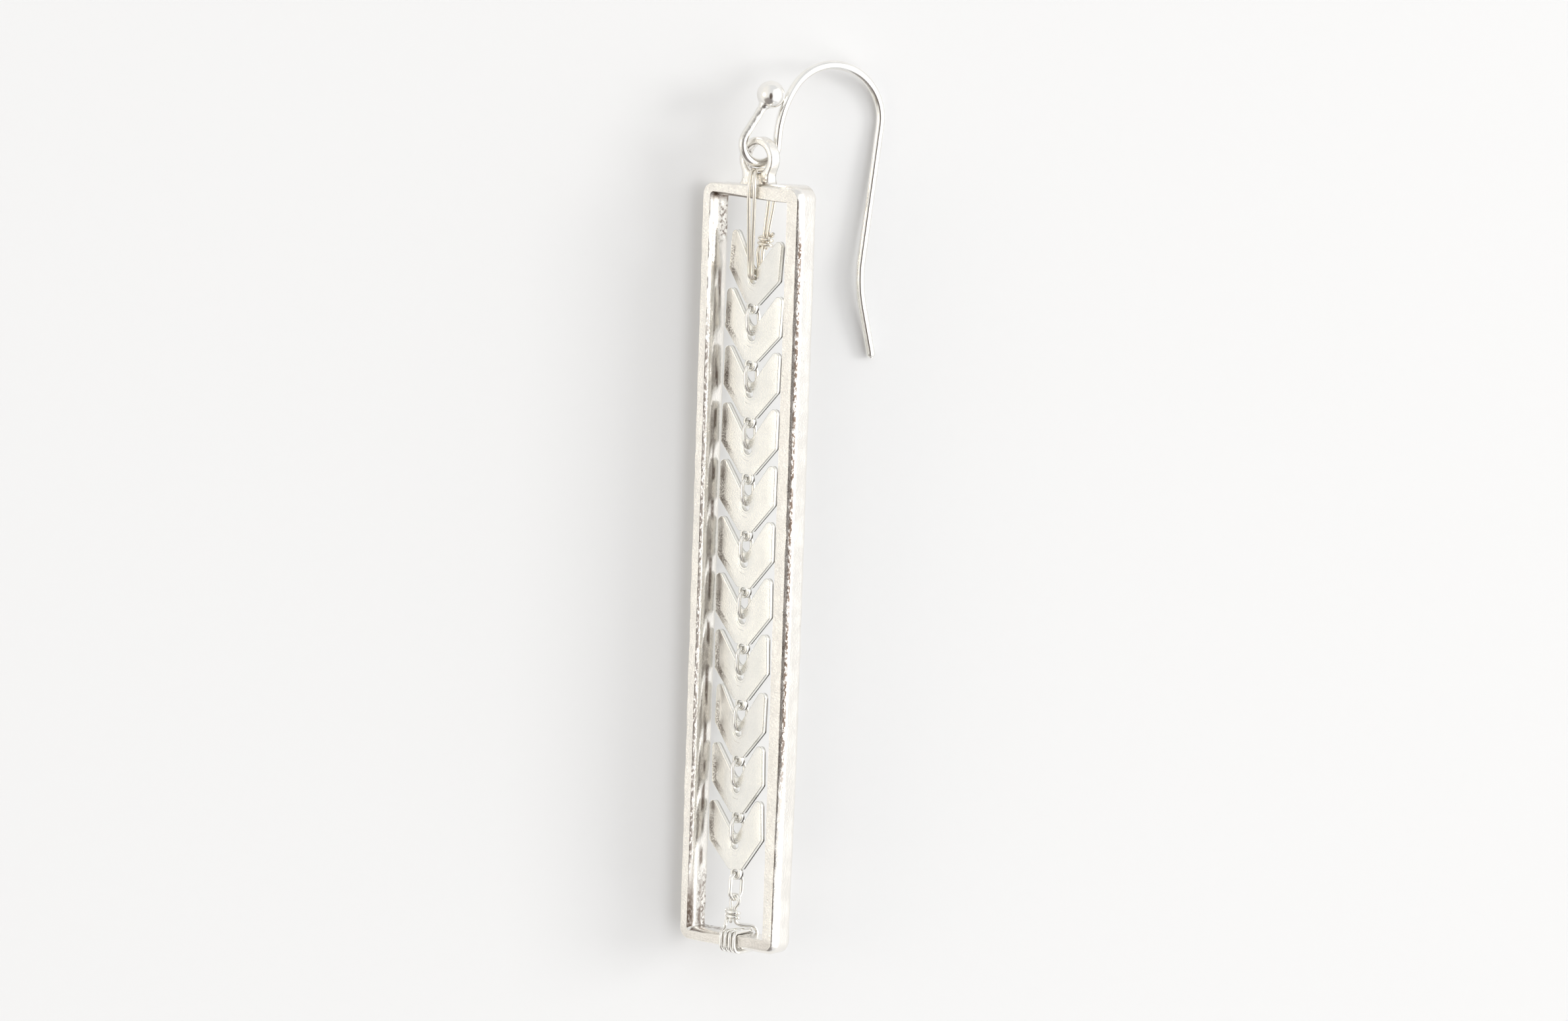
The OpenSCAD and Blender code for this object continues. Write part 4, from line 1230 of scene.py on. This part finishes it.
def cast_frame_material(look, effects):
    """Warm silver: brushed and grainy on its faces, polished on its walls, with tarnish in specks and in pits, and
    painted shade and painted reflection in the window's corners, under the top bar, down the left bar's inner wall
    and on the foot.
    """
    material, tree, shader, place, along = new_metal("Cast Frame")
    polish = add_node(tree, "ShaderNodeAttribute", attribute_name="Polish").outputs["Fac"]
    hollow = add_node(tree, "ShaderNodeAttribute", attribute_name="Tarnish").outputs["Fac"]
    rubbed = add_node(tree, "ShaderNodeAttribute", attribute_name="Rubbed").outputs["Fac"]
    painted_shade = add_node(tree, "ShaderNodeAttribute", attribute_name="PaintedShade").outputs["Fac"]
    brush = use_group(tree, effects["brushing"], {"Map": along, "Fineness": 9000.0, "Stretch": 7.0})
    mottle = use_group(tree, effects["mottle"], {"Place": place, "Patches": 700.0, "Grains": 6500.0})
    base = mixed(tree, mottle.outputs["Patch"], rgba(look.frame_colour, 0.93), rgba(look.frame_colour))
    sandy = ranged(tree, mottle.outputs["Grain"], 0.35, 0.6, 0.26, 0.0)
    base = mixed(tree, blended(tree, polish, sandy, 0.0), base, rgba(look.frame_colour, 0.65))
    pits = maths(tree, "MULTIPLY", hollow, ranged(tree, noise(tree, place, 3200.0, 3.0, 0.6), 0.45, 0.62))
    drawn_out = add_node(tree, "ShaderNodeMapping", {"Vector": place, "Scale": (1.0, 0.45, 1.0)}).outputs[0]
    speckled = noise(tree, drawn_out, 6500.0, 3.0, 0.65)
    worn = maths(tree, "MULTIPLY", rubbed, ranged(tree, speckled, 0.40, 0.54, 0.25, 0.95))
    # Painted shade and painted reflection, broken up by speckles.
    brown = maths(tree, "MULTIPLY", painted_shade, ranged(tree, speckled, 0.25, 0.55, 0.55, 1.0))
    # The darkest of tarnish, the dark edge bands and the painted shade.
    dirt_and_shade = maths(tree, "MAXIMUM", maths(tree, "MULTIPLY", mottle.outputs["Specks"], 0.3), pits)
    dirt_and_shade = maths(tree, "MAXIMUM", dirt_and_shade, maths(tree, "MAXIMUM", worn, brown))
    tree.links.new(mixed(tree, dirt_and_shade, base, rgba(look.tarnish_and_shade_colour)), shader.inputs["Base Color"])
    face = ranged(tree, brush.outputs["Streak"], 0, 1, look.frame_roughness - 0.08, look.frame_roughness + 0.1)
    wall = ranged(tree, mottle.outputs["Patch"], 0, 1, look.wall_roughness - 0.04, look.wall_roughness + 0.05)
    clean = blended(tree, polish, face, wall)
    tree.links.new(blended(tree, dirt_and_shade, clean, 0.5), shader.inputs["Roughness"])
    scratch = maths(tree, "MULTIPLY", brush.outputs["Height"], blended(tree, polish, 1.0, 0.25))
    sand = maths(tree, "MULTIPLY", mottle.outputs["Grain"], blended(tree, polish, 1.6, 0.5))
    height = maths(tree, "ADD", scratch, sand)
    bump = add_node(tree, "ShaderNodeBump", {"Height": height, "Strength": 0.8, "Distance": 0.00004})
    tree.links.new(bump.outputs[0], shader.inputs["Normal"])
    return material


def chevron_material(look, effects):
    """Pale champagne plate, rolled smooth, with a faint grain that breaks up its reflections, a speckled streak
    down its left side, painted shade along its rear edge and in its hole, and two curved creases under its hole,
    where the punch has pressed it."""
    layout = Layout()
    material, tree, shader, place, along = new_metal("Chevron Plate")
    mottle = use_group(tree, effects["mottle"], {"Place": place, "Patches": 420.0, "Grains": 9000.0})
    spot = add_node(tree, "ShaderNodeSeparateXYZ", {0: along})
    x, y = spot.outputs[0], spot.outputs[1]
    half_w = layout.chain.chevron_w / 2
    side = maths(tree, "ADD", x, half_w)
    slant = np.array([half_w - layout.FOOT_HALF, layout.chain.wing_side - layout.chain.chevron_h])
    slant /= np.linalg.norm(slant)
    over = maths(tree, "ADD", y, layout.chain.wing_side)
    lower = maths(tree, "SUBTRACT", maths(tree, "MULTIPLY", over, slant[0]), maths(tree, "MULTIPLY", side, slant[1]))
    depth = maths(tree, "MINIMUM", side, lower)
    in_from, out_by = ranged(tree, depth, 0.05 * MM, 0.2 * MM), ranged(tree, depth, 0.68 * MM, 0.52 * MM)
    streak = maths(tree, "MULTIPLY", in_from, out_by)
    upper = ranged(tree, y, -0.8 * MM, -1.8 * MM, 0.2, 1.0)
    streak = maths(tree, "MULTIPLY", streak, maths(tree, "MULTIPLY", upper, ranged(tree, y, -4.6 * MM, -3.5 * MM)))
    mottled = noise(tree, place, 8500.0, 4.0, 0.7)
    streak = maths(tree, "MULTIPLY", streak, ranged(tree, mottled, 0.38, 0.62, 0.0, 0.75))
    base = mixed(tree, mottle.outputs["Patch"], rgba(look.chevron_colour, 0.96), rgba(look.chevron_colour))
    tone = ranged(tree, mottle.outputs["Grain"], 0.35, 0.65, 0.12, 0.0)
    base = mixed(tree, tone, base, rgba(look.chevron_colour, 0.5))
    speck = maths(tree, "MAXIMUM", maths(tree, "MULTIPLY", mottle.outputs["Specks"], 0.12), streak)
    base = mixed(tree, speck, base, rgba(look.tarnish_and_shade_colour))
    # Painted shade in the hole and along the rear edge, where the plate's own contact shadow falls.
    edge_shade = add_node(tree, "ShaderNodeAttribute", attribute_name="EdgeShade").outputs["Fac"]
    base = mixed(tree, maths(tree, "MULTIPLY", edge_shade, 0.95), base, rgba(look.tarnish_and_shade_colour, 0.3))
    tree.links.new(base, shader.inputs["Base Color"])
    low, high = look.chevron_roughness - 0.03, look.chevron_roughness + 0.05
    tree.links.new(ranged(tree, mottle.outputs["Patch"], 0, 1, low, high), shader.inputs["Roughness"])
    under = maths(tree, "SUBTRACT", y, layout.hole_y)
    reach = maths(tree, "SQRT", add_squares(tree, x, under))
    height = mottle.outputs["Grain"]
    for crease_r, start, right_end in ((0.62 * MM, -0.1 * MM, 0.7 * MM), (0.98 * MM, -0.78 * MM, 0.25 * MM)):
        ring = ranged(tree, maths(tree, "ABSOLUTE", maths(tree, "SUBTRACT", reach, crease_r)), 0.07 * MM, 0)
        part = maths(tree, "MULTIPLY", ranged(tree, under, start, start - 0.15 * MM), ranged(tree, x, right_end, 0))
        height = maths(tree, "SUBTRACT", height, maths(tree, "MULTIPLY", ring, maths(tree, "MULTIPLY", part, 1.1)))
    bump = add_node(tree, "ShaderNodeBump", {"Height": height, "Strength": 0.9, "Distance": 0.00002})
    tree.links.new(bump.outputs[0], shader.inputs["Normal"])
    return material


def wire_material(name, wire_colour, look, effects):
    """Polished drawn wire, with faint draw marks along it and a dull skin where it is marked."""
    material, tree, shader, place, along = new_metal(name)
    brush = use_group(tree, effects["brushing"], {"Map": along, "Fineness": 14000.0, "Stretch": 26.0})
    mottle = use_group(tree, effects["mottle"], {"Place": place, "Patches": 900.0, "Grains": 5000.0})
    base = mixed(tree, mottle.outputs["Patch"], rgba(wire_colour, 0.95), rgba(wire_colour))
    speck = maths(tree, "MULTIPLY", mottle.outputs["Specks"], 0.1)
    base = mixed(tree, speck, base, rgba(look.tarnish_and_shade_colour))
    dull = add_node(tree, "ShaderNodeAttribute", attribute_name="Dull").outputs["Fac"]
    dull = maths(tree, "MULTIPLY", dull, ranged(tree, noise(tree, place, 5000.0, 4.0, 0.7), 0.34, 0.56, 0.3, 0.85))
    tree.links.new(mixed(tree, dull, base, rgba(look.dull_colour)), shader.inputs["Base Color"])
    low, high = look.wire_roughness - 0.03, look.wire_roughness + 0.08
    drawn = ranged(tree, brush.outputs["Streak"], 0, 1, low, high)
    tree.links.new(blended(tree, dull, drawn, 0.4), shader.inputs["Roughness"])
    bump = add_node(
        tree, "ShaderNodeBump", {"Height": brush.outputs["Height"], "Strength": 0.25, "Distance": 0.00001}
    )
    tree.links.new(bump.outputs[0], shader.inputs["Normal"])
    return material


def materials():
    """The finishes, made on first use and kept by name."""
    look = bpy.context.scene.be_look
    if "Cast Frame" not in bpy.data.materials:
        effects = {"brushing": brushing_group(), "mottle": mottle_group()}
        cast_frame_material(look, effects)
        chevron_material(look, effects)
        wire_material("Polished Wire", look.wire_colour, look, effects)
        wire_material("Hanger Wire", look.hanger_colour, look, effects)
    return bpy.data.materials


# Stage


def floor_material(stage):
    """Pale matt paper with a faint tooth."""
    material = bpy.data.materials.new("Pale Paper")
    material.use_nodes = True
    tree = material.node_tree
    shader = tree.nodes["Principled BSDF"]
    shader.inputs["Roughness"].default_value = 0.75
    shader.inputs["Specular IOR Level"].default_value = 0.25
    place = add_node(tree, "ShaderNodeTexCoord").outputs["Object"]
    tooth = noise(tree, place, 900.0, 4.0)
    tone = mixed(tree, tooth, rgba(stage.floor_colour, 0.992), rgba(stage.floor_colour))
    tree.links.new(tone, shader.inputs["Base Color"])
    bump = add_node(tree, "ShaderNodeBump", {"Height": tooth, "Strength": 0.08, "Distance": 0.00005})
    tree.links.new(bump.outputs[0], shader.inputs["Normal"])
    return material


def add_floor(stage):
    """Flat square far wider than any view, level with the table."""
    half = 2.5
    corners = np.array([[-half, -half, 0], [half, -half, 0], [half, half, 0], [-half, half, 0]])
    mesh = bpy.data.meshes.new("floor")
    mesh.from_pydata(corners.tolist(), [], [(0, 1, 2, 3)])
    mesh.materials.append(floor_material(stage))
    floor = bpy.data.objects.new("floor", mesh)
    bpy.context.scene.collection.objects.link(floor)


def blob(tree, a, a_middle, a_reach, b, b_middle, b_reach):
    """1 inside an ellipse of two coordinates and 0 outside it, with a soft edge."""
    off_a = maths(tree, "DIVIDE", maths(tree, "SUBTRACT", a, a_middle), a_reach)
    off_b = maths(tree, "DIVIDE", maths(tree, "SUBTRACT", b, b_middle), b_reach)
    return ranged(tree, add_squares(tree, off_a, off_b), 1.5, 0.6)


def add_sky(stage):
    """Soft light from all round: pale grey overhead, warm on the left with one small lamp, and brightest on the
    right. A dark brown patch hangs overhead and reaches towards the foot of the picture, as a camera and the one
    who holds it make. The camera itself sees plain pale surroundings."""
    world = bpy.data.worlds.new("Soft Studio")
    bpy.context.scene.world = world
    world.use_nodes = True
    tree = world.node_tree
    tree.nodes.clear()
    direction = add_node(tree, "ShaderNodeTexCoord").outputs["Generated"]
    x, y, z = add_node(tree, "ShaderNodeSeparateXYZ", {0: direction}).outputs
    back = maths(tree, "ARCTAN2", maths(tree, "MULTIPLY", y, -1.0), z)
    overhead = blob(tree, x, 0.0, 0.23, back, math.radians(10), math.radians(26))
    holder = blob(tree, x, -0.25, 0.5, back, math.radians(56), math.radians(34))
    dark = maths(tree, "MAXIMUM", overhead, maths(tree, "MULTIPLY", holder, 0.75))
    light = mixed(tree, ranged(tree, x, 0.1, -0.7), (0.85, 0.86, 0.875, 1), (1.05, 1.03, 0.985, 1))
    lamp = add_node(
        tree,
        "ShaderNodeVectorMath",
        {0: direction, 1: Vector((-0.86, 0.02, 0.52)).normalized()},
        operation="DOT_PRODUCT",
    ).outputs["Value"]
    light = mixed(tree, ranged(tree, lamp, 0.955, 0.985), light, (2.3, 2.15, 1.95, 1))
    right = maths(tree, "MULTIPLY", ranged(tree, x, 0.2, 0.5), ranged(tree, maths(tree, "ABSOLUTE", y), 0.8, 0.45))
    light = mixed(tree, right, light, (1.95, 1.94, 1.92, 1))
    light = mixed(tree, dark, light, (0.12, 0.09, 0.075, 1))
    soft = add_node(tree, "ShaderNodeBackground", {"Color": light, "Strength": stage.sky})
    plain = add_node(tree, "ShaderNodeBackground", {"Color": rgba(stage.backdrop_colour), "Strength": 1.0})
    ray = add_node(tree, "ShaderNodeLightPath").outputs["Is Camera Ray"]
    both = add_node(tree, "ShaderNodeMixShader", {0: ray})
    tree.links.new(soft.outputs[0], both.inputs[1])
    tree.links.new(plain.outputs[0], both.inputs[2])
    output = add_node(tree, "ShaderNodeOutputWorld")
    tree.links.new(both.outputs[0], output.inputs[0])


def add_key_light(stage):
    """Large soft light low on the right, which throws the shadow to the left."""
    data = bpy.data.lights.new("key", "AREA")
    data.shape = "RECTANGLE"
    data.size, data.size_y = 0.30, 0.22
    data.energy = stage.key_power
    data.color = (1.0, 0.995, 0.985)
    light = bpy.data.objects.new("key", data)
    away = Vector((0.88, 0.14, 0.46)).normalized()
    light.location = away * 0.9
    light.rotation_euler = away.to_track_quat("Z", "Y").to_euler()
    bpy.context.scene.collection.objects.link(light)


def add_camera(stage):
    """Camera where the photograph's stands, aimed at the middle of the earring, with a lens that lets the
    earring fill its share of the picture's height: the height in pixels over the earring's length, times the
    distance."""
    picture_w, picture_h, sensor = 2380, 1549, 36
    low, high = (Vector(corner) for corner in cad_box)
    target = (low + high) / 2 + Vector((0, stage.aim_along, 0))
    place = Vector((stage.camera_x, stage.camera_y, stage.camera_z))
    forward = (target - place).normalized()
    yaw = stage.camera_yaw
    right = forward.cross(Vector((-math.sin(yaw), math.cos(yaw), 0))).normalized()
    up = right.cross(forward)
    turn = Matrix((right, up, -forward)).transposed().to_4x4()
    data = bpy.data.cameras.new("camera")
    focal = stage.fill * picture_h * (target - place).length / (high.y - low.y)
    data.sensor_width = sensor
    data.lens = focal * sensor / picture_w
    data.clip_start, data.clip_end = 0.01, 20
    camera = bpy.data.objects.new("camera", data)
    camera.matrix_world = Matrix.Translation(place) @ turn
    bpy.context.scene.collection.objects.link(camera)
    bpy.context.scene.camera = camera


# Operators


class EARRING_OT_frame(bpy.types.Operator):
    """Cast frame with its bail"""

    bl_idname = "earring.cast_frame"
    bl_label = "Cast Frame"

    def execute(self, context):
        layout = Layout()
        mesh = joined("cast_frame", [frame_mesh(layout), bail_mesh(layout)])
        add_piece("cast_frame", mesh, ["frame"], materials()["Cast Frame"])
        return {"FINISHED"}


class EARRING_OT_ear_wire(bpy.types.Operator):
    """Open ear wire with its ball"""

    bl_idname = "earring.ear_wire"
    bl_label = "Ear Wire"

    def execute(self, context):
        mesh = ear_wire_mesh(Layout())
        add_piece("ear_hook", mesh, ["ear_wire"], materials()["Polished Wire"])
        return {"FINISHED"}


class EARRING_OT_chevrons(bpy.types.Operator):
    """Chevron plates of the chain"""

    bl_idname = "earring.chevrons"
    bl_label = "Chevrons"

    def execute(self, context):
        layout = Layout()
        for i in range(1, layout.chain.count + 1):
            mesh = chevron_mesh(layout, i)
            add_piece(f"chevron_plate_{i:02d}", mesh, [f"chevron_{i:02d}"], materials()["Chevron Plate"])
        return {"FINISHED"}


class EARRING_OT_link_rings(bpy.types.Operator):
    """Oval rings between the chevrons"""

    bl_idname = "earring.link_rings"
    bl_label = "Link Rings"

    def execute(self, context):
        layout = Layout()
        for i in range(1, layout.chain.count + 1):
            mesh = link_ring_mesh(layout, i)
            add_piece(f"oval_ring_{i:02d}", mesh, [f"link_ring_{i:02d}"], materials()["Polished Wire"])
        return {"FINISHED"}


class EARRING_OT_tie_wires(bpy.types.Operator):
    """Soft wires that hang the chain and tie it down"""

    bl_idname = "earring.tie_wires"
    bl_label = "Hanger and Wrap"

    def execute(self, context):
        layout = Layout()
        for name, node, line, finish in (
            ("hanger_loop", "hanger_wire", hanger_line(layout), "Hanger Wire"),
            ("wrap_coil", "wrap_wire", wrap_line(layout), "Polished Wire"),
        ):
            mesh = tie_wire_mesh(layout, name, line)
            add_piece(name, mesh, [node], materials()[finish])
        return {"FINISHED"}


class EARRING_OT_stage(bpy.types.Operator):
    """Pale floor, soft light and camera"""

    bl_idname = "earring.stage"
    bl_label = "Stage"

    def execute(self, context):
        stage = context.scene.be_stage
        context.scene.view_settings.view_transform = "Standard"
        add_floor(stage)
        add_sky(stage)
        add_key_light(stage)
        add_camera(stage)
        return {"FINISHED"}


OPERATORS = (
    EARRING_OT_frame,
    EARRING_OT_ear_wire,
    EARRING_OT_chevrons,
    EARRING_OT_link_rings,
    EARRING_OT_tie_wires,
    EARRING_OT_stage,
)


class EARRING_PT_pieces(bpy.types.Panel):
    """The earring's pieces, in the sidebar"""

    bl_idname = "EARRING_PT_pieces"
    bl_label = "Bar Earring"
    bl_space_type = "VIEW_3D"
    bl_region_type = "UI"
    bl_category = "Bar Earring"

    def draw(self, context):
        for operator in OPERATORS:
            self.layout.operator(operator.bl_idname)


GROUPS = {
    "be_frame": FrameSizes,
    "be_ear": EarWireSizes,
    "be_chain": ChainSizes,
    "be_tie": TieWireSizes,
    "be_look": Finishes,
    "be_stage": StageSettings,
}


def register():
    """Registers the classes and puts the property groups on the scene."""
    for cls in (*GROUPS.values(), *OPERATORS, EARRING_PT_pieces):
        bpy.utils.register_class(cls)
    for name, cls in GROUPS.items():
        setattr(bpy.types.Scene, name, PointerProperty(type=cls))


def unregister():
    """Takes the property groups off the scene and the classes out again."""
    for name in GROUPS:
        delattr(bpy.types.Scene, name)
    for cls in reversed((*GROUPS.values(), *OPERATORS, EARRING_PT_pieces)):
        bpy.utils.unregister_class(cls)


def main():
    """Builds every piece and the stage."""
    register()
    for operator in OPERATORS:
        module, name = operator.bl_idname.split(".")
        getattr(getattr(bpy.ops, module), name)()
    bpy.context.view_layer.update()


if __name__ == "__main__":
    main()
